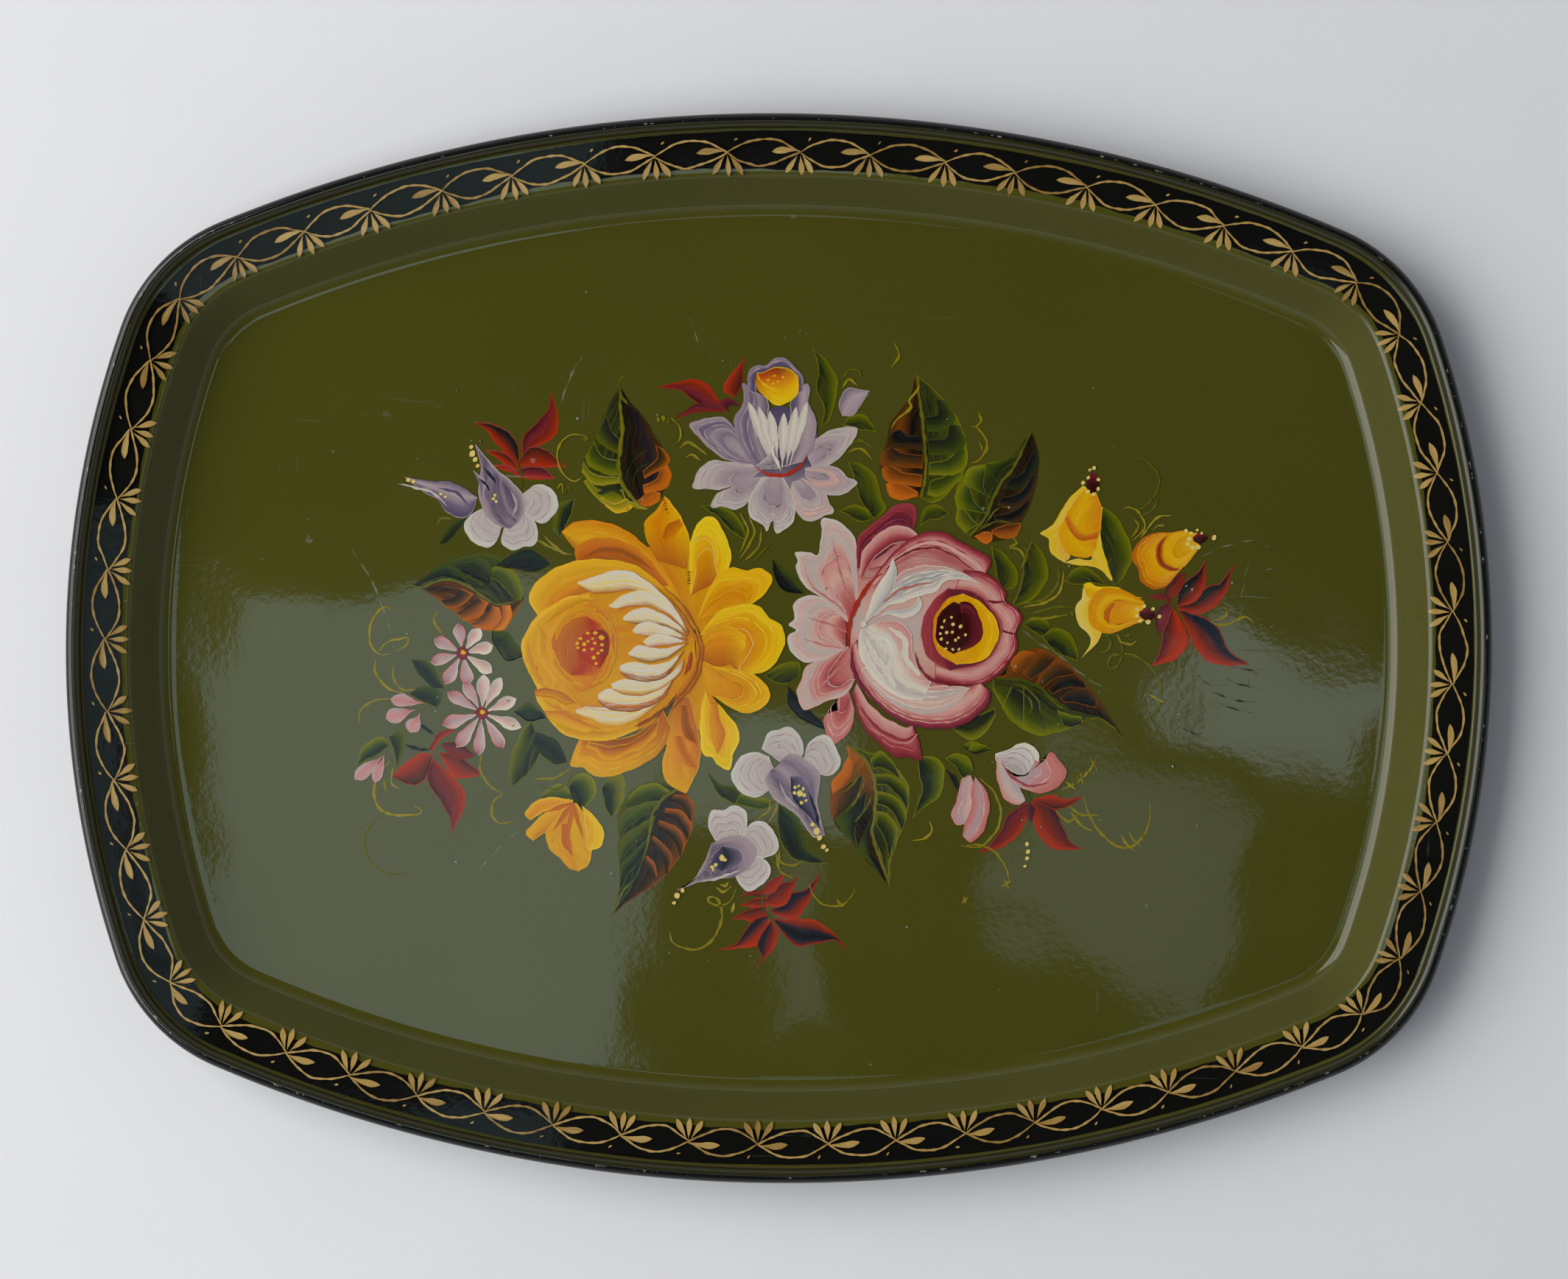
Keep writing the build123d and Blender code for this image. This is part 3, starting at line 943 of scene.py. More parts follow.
    # the brown and green leaf at the right
    rib = [(70, -9.5), (75, -9.5), (80, -10), (85, -12), (90, -16), (95, -19), (100, -20.5), (106, -22),
           (112.5, -28)]
    p.patch([(74, -8), (76, -4), (81, 0), (86, 0.4), (91, -2), (96, -6), (101, -11.5), (106, -18),
             (109.5, -23.5), (112.5, -28)], rib, "rust umber black soot", start="rust", finish="black",
            streak="umber")
    p.patch(rib, [(70, -13), (74, -20), (79, -25.3), (85, -28), (91, -27), (97, -25), (101, -22.8),
                  (105, -22.4), (109, -24.7), (112.5, -28)], "soot forest leaf lime", finish="moss",
            streak="olive", edge="lime")
    for first, second, tones in (
        ([(92, -15.5), (96, -13), (101, -13), (104, -16)], [(93, -17), (98, -17.5), (104, -19)],
         "umber soot black"),
        ([(88, -13), (91, -9.5), (96, -7.7), (100, -10.5)], [(89.5, -14.5), (94, -12.5), (101, -12.5)],
         "umber black soot"),
        ([(84, -11), (86.5, -6), (91, -2.8), (96, -5.5)], [(86.5, -12.5), (90, -9.5), (97, -7.8)],
         "rust umber black"),
        ([(79.5, -7.8), (82, -3), (86, 0.2), (91, -2)], [(82.5, -9.8), (86, -7.5), (90, -3.5)],
         "rust umber soot"),
        ([(76.5, -7), (76, -3.5), (79, -0.5), (83.5, -0.8)], [(78, -7.5), (81, -6), (83.5, -2)],
         "copper rust umber"),
    ):
        p.patch(first, second, tones, edge="rust")
    for first, second in (
        ([(73, -19), (76, -23), (80, -25.5)], [(76, -12), (80, -15), (82, -20)]),
        ([(80, -25.5), (84, -27.8), (89, -27.5)], [(80, -12), (84.5, -16), (86, -22)]),
        ([(91, -19.5), (95, -21), (99, -21.5)], [(93, -24), (96, -25), (99.5, -23.7)]),
    ):
        p.patch(second, first, "soot moss leaf lime", edge="lime")
    for line in (
        [(76, -11), (81, -12.5), (85, -17), (85.7, -22)],
        [(78.5, -13), (82, -16), (82.8, -19.5), (80.5, -21.7)],
        [(86, -13), (90, -17), (95, -20)],
        [(100, -24), (102, -22.7), (105.5, -22.4), (109, -24.7), (112.7, -28.3)],
    ):
        p.line(line, 0.6, "olive", streak="lime")
    p.line(rib[:6], 0.9, "leaf", streak="olive")


def paint_upper_leaves(p):
    # the big leaf at upper left
    rib = [(-52.6, 85), (-52.5, 78), (-51.8, 72), (-52.3, 66), (-53, 60), (-52.3, 55), (-50.3, 51),
           (-46, 46)]
    p.patch([(-52.6, 85), (-56, 80), (-58.5, 74), (-61, 67), (-64, 62), (-65, 57), (-64, 51.5), (-59, 47),
             (-54, 44), (-50, 44), (-46, 46)], rib, "leaf moss forest soot", start="soot", streak="olive",
            edge="leaf")
    p.patch(rib, [(-52.6, 85), (-49, 79.8), (-45, 75.5), (-41.5, 70), (-38.5, 65), (-37, 59), (-37.2, 53),
                  (-40, 48), (-46, 46)], "soot black night umber", start="black", streak="umber")
    for first, second, tones in (
        ([(-60.5, 68.5), (-58, 65.5), (-53, 63)], [(-57, 76), (-55.5, 71), (-52.5, 68)],
         "olive moss soot"),
        ([(-64, 62), (-62.5, 59), (-57, 56.3), (-53, 56)], [(-61, 67), (-58.5, 62.5), (-53, 61)],
         "lime leaf forest"),
        ([(-65, 57), (-61, 53), (-56, 53), (-52, 53.5)], [(-64.5, 60.5), (-61, 56.5), (-53, 55.5)],
         "straw lime leaf"),
        ([(-64.5, 54), (-60, 48.3), (-55, 45.8), (-50, 47)],
         [(-63, 55), (-59.5, 51.5), (-55, 51), (-51.5, 51.5)], "straw lime leaf"),
        ([(-57, 45.8), (-53.5, 43.7), (-50, 44.3), (-48, 46)], [(-59, 49), (-54.5, 47), (-50, 48.5)],
         "gold straw lime"),
        ([(-60, 50), (-56.5, 52.3), (-53, 51.5), (-51, 48.5)],
         [(-58, 49.5), (-55.5, 50.7), (-53, 50), (-51.5, 48.5)], "moss forest olive"),
        ([(-38.6, 65), (-36.4, 62), (-37, 59.5), (-44.5, 55)], [(-41, 66), (-40.5, 62), (-45, 57.5)],
         "copper umber black"),
        ([(-37, 59.5), (-35.6, 56), (-37.5, 52), (-44.5, 50)], [(-39.5, 58), (-40.5, 55), (-45, 53)],
         "ember copper umber"),
        ([(-39.3, 50.5), (-39.6, 47.7), (-43, 46), (-47, 46.8)], [(-42, 51), (-44.5, 49.8), (-47, 47.5)],
         "ember copper rust"),
    ):
        p.patch(first, second, tones, edge=tones.split()[0])
    p.line(rib, 1.3, "olive", streak="straw", taper=(0.2, 1))
    p.line([(-50, 50.5), (-50.3, 56), (-48, 61), (-44, 64), (-40.5, 63)], 0.5, "moss", streak="leaf")
    p.line([(-48, 50.5), (-48, 55), (-45.5, 59), (-41.5, 60.5)], 0.5, "moss", streak="leaf")
    p.line([(-50, 48), (-47, 46), (-43.3, 45.2)], 1.4, "straw", streak="lime")
    p.line([(-53.5, 85.5), (-52.3, 88), (-51, 88.5)], 1.1, "olive", streak="lime")
    p.line([(-53, 85), (-52, 81.5), (-49, 78.5)], 0.7, "olive", streak="lime")
    # the leaf over the pink rose, brown on its left
    rib = [(46, 49.5), (47.5, 58), (47, 68), (46, 77), (44, 90)]
    p.patch([(46, 49.5), (41, 49), (35.5, 50.5), (34.5, 55), (32.5, 60), (34.5, 67), (36, 74), (42, 82),
             (44, 90)],
            rib, "umber rust black soot", finish="black", streak="umber", edge="rust")
    p.patch(rib, [(46, 49.5), (51, 48), (57, 53.5), (61, 61), (60.5, 69), (57, 77), (51, 84), (44, 90)],
            "soot forest leaf lime", finish="soot", streak="olive", edge="lime")
    for first, second, tones in (
        ([(34.5, 54), (36, 49.7), (40.5, 48.8), (45, 50)], [(38, 55), (41, 53.5), (45, 51.5)],
         "ember copper rust"),
        ([(33, 59), (34.3, 55), (39, 54), (46, 53)], [(36, 60), (40, 58), (46.5, 57)],
         "copper rust umber"),
        ([(33, 64.5), (33, 60), (39, 59.5), (46.5, 59)], [(36.5, 66), (41, 64), (46.7, 63.5)],
         "rust umber black"),
        ([(35, 70), (35, 66), (40, 65.5), (46.5, 65)], [(39, 72), (42, 70), (46.5, 70)],
         "umber black soot"),
        ([(60, 56.5), (57, 53.5), (52, 50), (48, 50.5)], [(58, 60), (54, 57), (49, 55)],
         "lime leaf moss"),
        ([(61.3, 65), (60.5, 59.5), (56, 57), (48.5, 57)], [(58.5, 67), (55, 62.5), (48.5, 61)],
         "lime leaf forest"),
        ([(58.8, 73), (60.5, 67), (56, 64), (48.5, 63.5)], [(55, 74), (54, 69.5), (48, 68.5)],
         "leaf moss soot"),
        ([(53.5, 81.5), (57, 76), (54, 72), (48, 71)], [(50.5, 82), (51, 77), (47, 76)],
         "leaf moss soot"),
    ):
        p.patch(first, second, tones, edge=tones.split()[0])
    p.line(rib, 1.0, "olive", streak="straw", taper=(1, 0.3))
    p.line([(44.5, 89.5), (45, 85.5), (42, 81.5), (42.5, 79), (38, 75), (36, 72)], 0.8, "straw",
           streak="lime")
    # the leaf further right
    rib = [(62, 37), (67, 43), (69.5, 49), (72.5, 55), (76.5, 60), (82, 71.5)]
    p.patch([(62, 37), (57.5, 42), (58, 47), (57.5, 52), (61.5, 59), (68, 61), (75, 63.5), (82, 71.5)],
            rib, "lime leaf moss forest", finish="soot", streak="olive", edge="lime")
    p.patch(rib, [(62, 37), (68, 35.3), (76, 37), (79.5, 43.5), (82.5, 50), (84.3, 59), (84, 66),
                  (82, 71.5)],
            "soot black umber moss", finish="black", streak="umber", edge="umber")
    for first, second, tones in (
        ([(60.5, 38), (57.5, 42), (58, 46)], [(65, 41), (62, 43.5), (60, 46.5)], "lime olive moss"),
        ([(58, 46), (57, 50), (59.5, 54.5)], [(67.5, 44.5), (64, 48), (62, 53)], "lime leaf forest"),
        ([(59.5, 54.5), (62, 59.5), (67, 60.5)], [(69, 49.5), (66.5, 53), (67, 58)], "lime leaf soot"),
        ([(67, 60.5), (72, 61.5), (76.5, 64)], [(71.5, 54), (71.5, 57.5), (76, 61)], "leaf moss soot"),
        ([(63.5, 37), (67, 34.7), (69.3, 35.5), (69.5, 37)], [(64, 37.3), (67, 38.7), (69.5, 38)],
         "ember copper rust"),
        ([(69.5, 38), (73, 36.3), (77, 37), (78.7, 40)], [(69, 39), (74, 41), (78.7, 41.5)],
         "copper rust black"),
        ([(70, 42), (76, 41), (79.8, 43.5), (82, 48)], [(70, 44), (76, 45.5), (81, 49.5)],
         "umber black soot"),
        ([(71, 47), (78, 46.5), (83, 52), (84, 57)], [(72, 50), (78, 51.5), (83, 58)],
         "umber soot black"),
        ([(73, 52.5), (79, 53), (84.2, 60), (84, 65)], [(75, 56), (79, 58), (83, 66)], "moss soot black"),
    ):
        p.patch(first, second, tones, edge=tones.split()[0])
    p.line(rib, 0.9, "olive", streak="lime", taper=(1, 0.3))
    p.line([(65, 39), (71, 42), (77, 41)], 0.5, "olive")
    p.line([(64, 38), (67, 41), (71, 46), (76, 46.8)], 0.5, "olive")
    # small ones between the flowers, light on one side and nearly black on the other
    for light, dark in (
        ([(22, 61), (27, 60.3), (31.5, 56), (33, 50), (34.7, 46), (31, 42)],
         [(22, 61), (24, 56), (26, 49), (31, 42)]),
        ([(19, 45), (24, 47), (28, 46), (30, 42)], [(19, 45), (22, 43.5), (26, 41.5), (30, 42)]),
        ([(10, 98.5), (15, 94), (18.5, 88), (17.8, 81), (16, 75), (13, 72)],
         [(10, 98.5), (12, 92), (11.5, 84), (14, 79), (13, 72)]),
        ([(20, 73), (23, 76.3), (28, 76), (31.5, 71)], [(20, 73), (23, 72.3), (27, 71.3), (31.5, 71)]),
        ([(45.5, 40), (47, 45.5), (51, 47.5), (55.5, 44.5)],
         [(45.5, 40), (49, 42), (52, 42.5), (55.5, 44.5)]),
        ([(82.5, 36), (86.5, 31), (88, 25), (86, 20), (82, 16), (76, 14)],
         [(82.5, 36), (80, 30), (79, 22), (76, 14)]),
        ([(69, 34), (74, 31), (78, 25), (77, 20.5), (73, 19.5)],
         [(69, 34), (70, 29), (71, 24), (73, 19.5)]),
        ([(103.5, 47.5), (109, 45), (113.5, 38), (115.5, 31), (113, 24.5), (109.5, 21)],
         [(103.5, 47.5), (104, 39), (106.5, 30), (109.5, 21)]),
        ([(93, 22.5), (96, 26.3), (101, 27), (107.5, 21)],
         [(93, 22.5), (97, 21.5), (102, 22), (107.5, 21)]),
        ([(79.5, 8.5), (83, 10.8), (87, 10.3), (89, 7)], [(79.5, 8.5), (83, 6), (86, 4.5), (89, 7)]),
        ([(86, 4.5), (90, 7.2), (94.5, 6), (97.5, 1), (98, -3.5)],
         [(86, 4.5), (89, 0.5), (93, -2), (98, -3.5)]),
        ([(-4.5, -9), (0, -5.5), (6.5, -4.5), (7, -9)], [(-4.5, -9), (-1, -11.5), (3, -11.5), (7, -9)]),
        ([(-26.5, 46.5), (-20, 46.5), (-15, 44), (-12, 40), (-11, 35)],
         [(-26.5, 46.5), (-21, 43), (-16, 38), (-11, 35)]),
    ):
        p.patch(light, dark, "lime leaf forest soot", streak="olive", edge="lime")
    p.patch([(-2.3, 29), (1, 26), (5, 23), (8, 18)], [(-2.3, 29), (-1.5, 23), (2, 18.5), (8, 18)],
            "leaf soot black")
    p.patch([(3, -12.5), (8, -18), (13, -23), (18, -27.5)],
            [(3, -12.5), (3.5, -19), (9, -24), (18, -27.5)], "black soot night")
    p.patch([(20, 76), (24, 76.5), (27, 81), (29, 84.3)], [(20, 76), (19, 80), (21.5, 85), (29, 84.3)],
            "lilac mauve violet", edge="pearl")


RED_LEAVES = (
    # bright edge, dark edge, tones; every leaf runs from its foot to its tip
    ([(-85, 58), (-89, 62), (-93, 66), (-96, 70), (-100.5, 73.3)],
     [(-85, 58), (-86, 66), (-89, 70), (-94, 72.5), (-100.5, 73.3)], "scarlet brick soot black"),
    ([(-84, 60), (-80, 65), (-75, 67.5), (-72.7, 72), (-73.5, 78), (-75.2, 83.5)],
     [(-84, 60), (-84.3, 68), (-79, 74), (-76, 78), (-75.2, 83.5)], "scarlet brick wine black"),
    ([(-86, 59), (-80, 58.6), (-75, 58.5), (-70, 58.5)], [(-86, 60), (-82, 65), (-77, 64.5), (-70, 58.5)],
     "scarlet brick soot"),
    ([(-86, 57.5), (-90, 59), (-93, 61.5), (-97, 64)], [(-86, 59), (-89, 62.5), (-92, 63.8), (-97, 64)],
     "scarlet brick soot"),
    ([(-86, 55.5), (-89, 57), (-92, 57.8), (-95.5, 59)], [(-86, 57), (-89, 59), (-92, 59.3), (-95.5, 59)],
     "scarlet wine"),
    ([(-86, 55), (-82, 54.5), (-78, 54.5), (-73.5, 54.8)],
     [(-86, 58), (-81, 59), (-77, 58), (-73.5, 54.8)], "scarlet wine soot"),
    ([(-113, -35.5), (-117, -35.3), (-122, -38.5), (-126.5, -43)],
     [(-113, -36), (-115, -43), (-119.5, -45.8), (-126.5, -43)], "scarlet brick soot"),
    ([(-113, -37), (-107, -42), (-103, -47), (-102.3, -52), (-106.5, -61.5)],
     [(-113, -37), (-114.8, -44), (-111, -50), (-107.5, -56), (-106.5, -61.5)],
     "scarlet brick wine black"),
    ([(-111, -35.5), (-106.5, -42.5), (-102, -43.5), (-96.5, -42)],
     [(-111, -35), (-105, -35.5), (-101, -38.5), (-96.5, -42)], "scarlet brick soot"),
    ([(-110, -33), (-106, -37), (-102, -37), (-99, -36)],
     [(-110, -32), (-105, -31.5), (-102, -33.5), (-99, -36)], "brick wine soot"),
    ([(-106, -28), (-110, -30.5), (-113, -34.5)], [(-106, -27), (-111, -28.5), (-114.5, -34)],
     "scarlet soot"),
    ([(-4, -79), (-9, -79.6), (-13.5, -82)], [(-4, -82), (-9, -81), (-13.5, -82)], "brick brick soot"),
    ([(-3, -85), (-8, -85), (-12.5, -84.2)], [(-3, -81.5), (-8, -82.3), (-12.5, -84.2)],
     "scarlet brick soot"),
    ([(-3, -88), (-7, -89.8), (-11, -89), (-15, -88.8)],
     [(-3, -84.5), (-8, -85), (-11, -86.5), (-15, -88.8)], "scarlet brick soot"),
    ([(-2.5, -88), (-2, -93), (-5, -96.5), (-9, -98), (-14, -98.5), (-20.5, -99)],
     [(-2.5, -87), (-8, -89.3), (-11, -93.5), (-14, -97), (-20.5, -99)],
     "scarlet scarlet brick night black"),
    ([(-1.5, -89), (0.4, -92.5), (0, -96.5), (-2.5, -100.2), (-7.3, -105)],
     [(-2, -89), (-5, -93.5), (-6.6, -97.5), (-4.7, -101), (-7.3, -105)], "scarlet brick night night"),
    ([(-1, -88.5), (4, -88.6), (11, -88.6), (16, -91), (20.5, -95), (23.5, -99)],
     [(-1, -89.5), (3, -94.5), (6.5, -97.5), (12, -96.8), (19, -95.6), (23.5, -99)],
     "scarlet brick night black night brick"),
    ([(-2, -86.5), (3, -88.5), (7, -87.8), (10, -83.5), (12.5, -78), (14.2, -73)],
     [(-2, -85.5), (2.5, -83.5), (5, -80), (9.5, -78.7), (12, -76), (14.2, -73)],
     "scarlet brick night night"),
    ([(-4, -83.8), (0, -84.8), (3.5, -83), (5.2, -79), (6.8, -74)],
     [(-4, -83), (-2, -79.8), (1.5, -77), (5, -76), (6.8, -74)], "scarlet brick night"),
    ([(-4.5, -80.5), (-1.5, -80), (1, -77.5), (2.5, -74)],
     [(-4.5, -80), (-3.5, -77), (0, -75), (2.5, -74)], "scarlet wine"),
    ([(82, -49.5), (80.8, -57), (77, -62.3), (72, -65.2), (65.5, -66.5)],
     [(82, -49.5), (75.3, -54), (73, -59), (70, -63), (65.5, -66.5)], "scarlet brick wine soot"),
    ([(83, -49.5), (84, -57.5), (87.5, -63), (92, -65.3), (99.5, -65)],
     [(83, -49.5), (90, -51.5), (93.5, -58), (95.5, -62.3), (99.5, -65)], "scarlet brick night"),
    ([(83, -49), (89, -47.3), (94, -48.5), (100, -47.7)],
     [(83, -49), (89, -51.8), (94, -51.5), (100, -47.7)], "scarlet brick soot"),
    ([(82, -49.5), (80.6, -53), (83, -56.5)], [(82, -49.5), (84.3, -52), (83, -56.5)], "wine soot"),
    ([(-19, 79), (-24, 86), (-29, 87.7), (-35, 86.5), (-41, 84.8)],
     [(-18, 77.5), (-25, 78.3), (-29, 81), (-33, 84), (-41, 84.8)], "scarlet brick wine black"),
    ([(-19, 77), (-25, 77), (-30, 76.2), (-35, 74.7)], [(-19, 78.5), (-25, 79.8), (-29, 79), (-35, 74.7)],
     "brick wine soot"),
    ([(-16, 82), (-18.7, 84), (-18, 87.5), (-15, 91), (-12, 95)],
     [(-15, 82), (-13, 85), (-12.3, 90), (-12, 95)], "scarlet brick soot"),
    ([(-17, 77), (-20.3, 80), (-17, 81.5), (-13, 79)], [(-17, 77), (-17, 79), (-13, 79)], "wine soot"),
    ([(130, 14), (136, 12.2), (141, 13.5), (145.5, 18), (147.3, 23), (148.5, 28.5)],
     [(130, 14.5), (135, 17.5), (139.5, 21), (143.5, 22.3), (146, 25), (148.5, 28.5)],
     "scarlet brick soot black"),
    ([(130, 14.5), (134.5, 15.5), (138, 18.5), (139.5, 23.5), (139.2, 30.5)],
     [(130, 15), (130.5, 20), (133.5, 23.7), (136.8, 26), (139.2, 30.5)], "scarlet brick soot black"),
    ([(127, 16.5), (130.3, 18.5), (132, 22), (132.8, 26)],
     [(127, 16.5), (126, 20), (129, 24), (132.8, 26)], "brick brick black"),
    ([(128, 15.5), (124.5, 16.8), (120, 17.3)], [(128, 17), (124.5, 19), (120, 17.3)], "wine brick soot"),
    ([(128.5, 14.5), (128, 10), (126, 7.5), (124, 5.5)], [(127, 16), (123.5, 13.5), (123, 9), (124, 5.5)],
     "wine wine soot"),
    ([(129, 14.5), (132, 9), (134, 4), (132.5, 0), (128.5, -3.3), (121.3, -5)],
     [(128.5, 14.5), (126, 8), (125, 3), (124, -1.3), (121.3, -5)], "scarlet scarlet brick night"),
    ([(130, 14), (133.3, 7.5), (136, 1.5), (140, -3), (146, -4.5), (154, -4.2)],
     [(130, 14), (136.5, 12), (142, 9.5), (145.3, 4.5), (147, 0.5), (154, -4.2)],
     "scarlet brick night night"),
)


def paint_red_leaves(p):
    for bright, dark, tones in RED_LEAVES:
        p.patch(bright, dark, tones, edge=tones.split()[0])
    for line in (
        [(-4.5, -79), (-4.7, -84), (-2.5, -88), (0, -92)], [(-87, 63), (-85.3, 58), (-84, 52)],
        [(126, 17), (130, 13), (134, 8)], [(82, -46), (82.3, -51)],
    ):
        p.line(line, 0.6, "leaf", streak="olive")


# ---- the bouquet: the three big flowers -----------------------------------------------------------
def petal(p, brim, root, tones, ridges=(), ridge_tone="chalk", heart=None, **options):
    """A petal from its outer brim in to its root, with fine ridges that follow the brim; heart
    is the paint that fills the hollow of a root that bends round on itself."""
    if heart:
        closing = np.linspace(root[0], root[-1], 5).tolist()
        p.patch(root, closing, heart, free="")
    p.patch(brim, root, tones, **options)
    count = 24
    outer = evenly(smooth_curve(brim), count)
    inner = evenly(smooth_curve(root), count)
    for share in ridges:
        trim = slice(1 + int(random.uniform(0, 3)), count - 1 - int(random.uniform(0, 3)))
        p.line((outer * (1 - share) + inner * share)[trim], 0.34, ridge_tone)


def paint_yellow_rose(p):
    # a first coat behind the petals
    for first, second, tones in (
        ([(-47, 33), (-41, 22), (-31, 6)], [(-27, 32), (-26.5, 20), (-25, 6)], "copper orange amber"),
        ([(-50, -38), (-38, -26), (-30, -6)], [(-20, -24), (-22, -14), (-25, -4)], "copper orange amber"),
        ([(-28, 26), (-18, 22), (-9, 16)], [(-27, -4), (-17, -7), (-8, -8)], "amber orange amber"),
        ([(-74, 15), (-56, 24), (-40, 21), (-28, 8)], [(-74, -22), (-58, -29), (-42, -25), (-27, -6)],
         "amber orange amber orange"),
    ):
        p.patch(first, second, tones, streak="honey", free="")
    petal(p, [(-71.5, 37.5), (-67, 40.7), (-60, 41.2), (-52, 39), (-46, 35), (-41, 30), (-36, 23),
              (-30, 12)],
          [(-71.5, 37.5), (-66, 31), (-58, 28), (-50, 26), (-44, 23), (-38, 18), (-30, 12)],
          "orange amber honey copper", ridges=(0.3, 0.45), ridge_tone="honey", edge="honey")
    p.patch([(-66.5, 27.5), (-66.8, 32), (-62, 35.2), (-55, 35.5), (-48, 33), (-42, 28), (-36, 20)],
            [(-66.5, 27.5), (-60, 28), (-52, 27), (-46, 24.5), (-40, 20), (-36, 20)],
            "orange ember copper rust", edge="honey", streak="ember")
    p.patch([(-64.5, 29), (-60, 32.5), (-54, 33), (-47, 30.5), (-41, 25)],
            [(-64.5, 29), (-59, 30.5), (-53, 30.5), (-47, 28), (-41, 25)], "ember rust copper")
    petal(p, [(-79, 10), (-81.7, 14.5), (-81, 19), (-76, 24), (-70, 27), (-62, 28.6), (-52, 28),
              (-45, 25.5), (-36, 18)],
          [(-75, 12), (-70, 14.5), (-64, 17), (-56, 19), (-50, 20), (-44, 19), (-36, 18)],
          "gold honey amber orange copper", ridges=(0.45,), ridge_tone="honey", edge="gold")
    petal(p, [(-65, -30), (-67, -35), (-68, -39), (-64, -39.6), (-61.5, -41.5), (-57, -42.7), (-50, -41),
              (-43, -37.7), (-38, -33.5), (-35, -26)],
          [(-65, -29), (-60, -29.5), (-54, -30), (-48, -29), (-42, -25), (-38, -20)],
          "honey amber orange copper rust", ridges=(0.2, 0.35), ridge_tone="gold", edge="gold",
          finish="copper")
    p.patch([(-63, -33), (-60, -34), (-58, -36.3), (-54, -37.2), (-50, -35), (-45, -33.5), (-40, -29)],
            [(-62, -31), (-58, -32), (-54, -32.5), (-48, -31), (-43, -27.5), (-39, -23)],
            "honey orange copper rust", edge="gold")
    p.patch([(-33, -16), (-35, -25), (-36.8, -33), (-38, -39), (-37, -43), (-35, -45.5), (-30, -47.8)],
            [(-29, -16), (-26.7, -25), (-25.3, -33), (-25.7, -38), (-27, -42), (-28.5, -45),
             (-30, -47.8)],
            "amber orange orange copper", finish="honey", start="copper", edge="honey")
    p.patch([(-32, -19), (-31.8, -25), (-30.5, -29.5), (-26.5, -31.5)],
            [(-29.5, -19), (-28.5, -24), (-27, -28), (-26.5, -31.5)], "copper rust ember")
    p.patch([(-34.5, -29), (-33.3, -33.5), (-31, -38), (-26.3, -40)],
            [(-31.5, -29), (-30, -33), (-28, -36), (-26.3, -40)], "orange copper ember")
    petal(p, [(-24, -14), (-25.3, -20), (-25.7, -28), (-24.5, -35), (-21.5, -36), (-19.5, -38.5),
              (-16, -40), (-14.5, -34.5), (-12.6, -29.5), (-14, -25), (-17, -21.5), (-19.5, -18.5)],
          [(-24, -14), (-22.5, -19), (-21.5, -24), (-21, -28), (-20.5, -31), (-19.5, -31.5), (-18.5, -30),
           (-19, -27), (-20, -23), (-20.5, -21), (-20.5, -19.5), (-19.5, -18.5)],
          "lemon gold amber", heart="amber orange", ridges=(0.4,), ridge_tone="lemon", edge="lemon")
    p.patch([(-22.5, -18), (-22.5, -25), (-21.5, -31), (-20, -35)],
            [(-20.5, -18), (-19, -24), (-17.5, -29), (-20, -35)], "amber orange ember", edge="copper")
    p.patch([(-40, 28), (-43.5, 35), (-44.5, 40), (-42.5, 43), (-40, 45.5), (-37.8, 49.4)],
            [(-30, 25), (-29, 33), (-31.5, 41), (-34, 45), (-36, 47.8), (-37.8, 49.4)],
            "amber orange amber gold", start="copper", edge="honey")
    p.patch([(-38.5, 36), (-36.7, 40), (-33, 42)], [(-37, 34), (-34, 37), (-31.5, 40)], "copper orange")
    for x, y in ((-38.2, 48), (-37.8, 47), (-37.4, 46), (-37.1, 45), (-36.6, 44), (-38, 46.3),
                 (-37.5, 45.2)):
        p.dot(x, y, 0.8, 0.4, "umber", turn=-50)
    petal(p, [(-29, 17), (-29.6, 27), (-28.8, 36.5), (-25, 42.5), (-21, 42), (-18.5, 38), (-16, 31.5),
              (-16.6, 26), (-20, 22)],
          [(-29, 17), (-27.5, 24), (-27, 29), (-24.5, 32), (-22.5, 31.5), (-21.5, 29), (-21, 26),
           (-20.5, 24), (-20, 22)],
          "lemon lemon gold amber", heart="amber copper", ridges=(0.5,), ridge_tone="lemon",
          edge="butter")
    p.patch([(-28, 36), (-25, 37.7), (-22, 36), (-20.2, 32), (-20.3, 27)],
            [(-28, 34.5), (-25, 35.5), (-22.7, 34), (-21.5, 31), (-20.3, 27)], "lemon amber",
            edge="butter")
    for y in (24.5, 23.6, 22.7, 21.8, 20.9):
        p.line([(-30.3, y - 0.3), (-28.9, y + 0.3)], 0.4, "umber")
    petal(p, [(-27, 9), (-23.5, 18), (-20, 24), (-16, 26.2), (-11, 25.4), (-6, 26), (-2.4, 23),
              (-4.5, 18), (-10, 13.5)],
          [(-27, 9), (-24, 13), (-20, 16.5), (-17, 18), (-14, 18.5), (-12, 18), (-11, 17), (-11, 15.5),
           (-10, 13.5)],
          "gold gold amber orange", heart="orange amber", ridges=(0.4,), ridge_tone="lemon", edge="lemon")
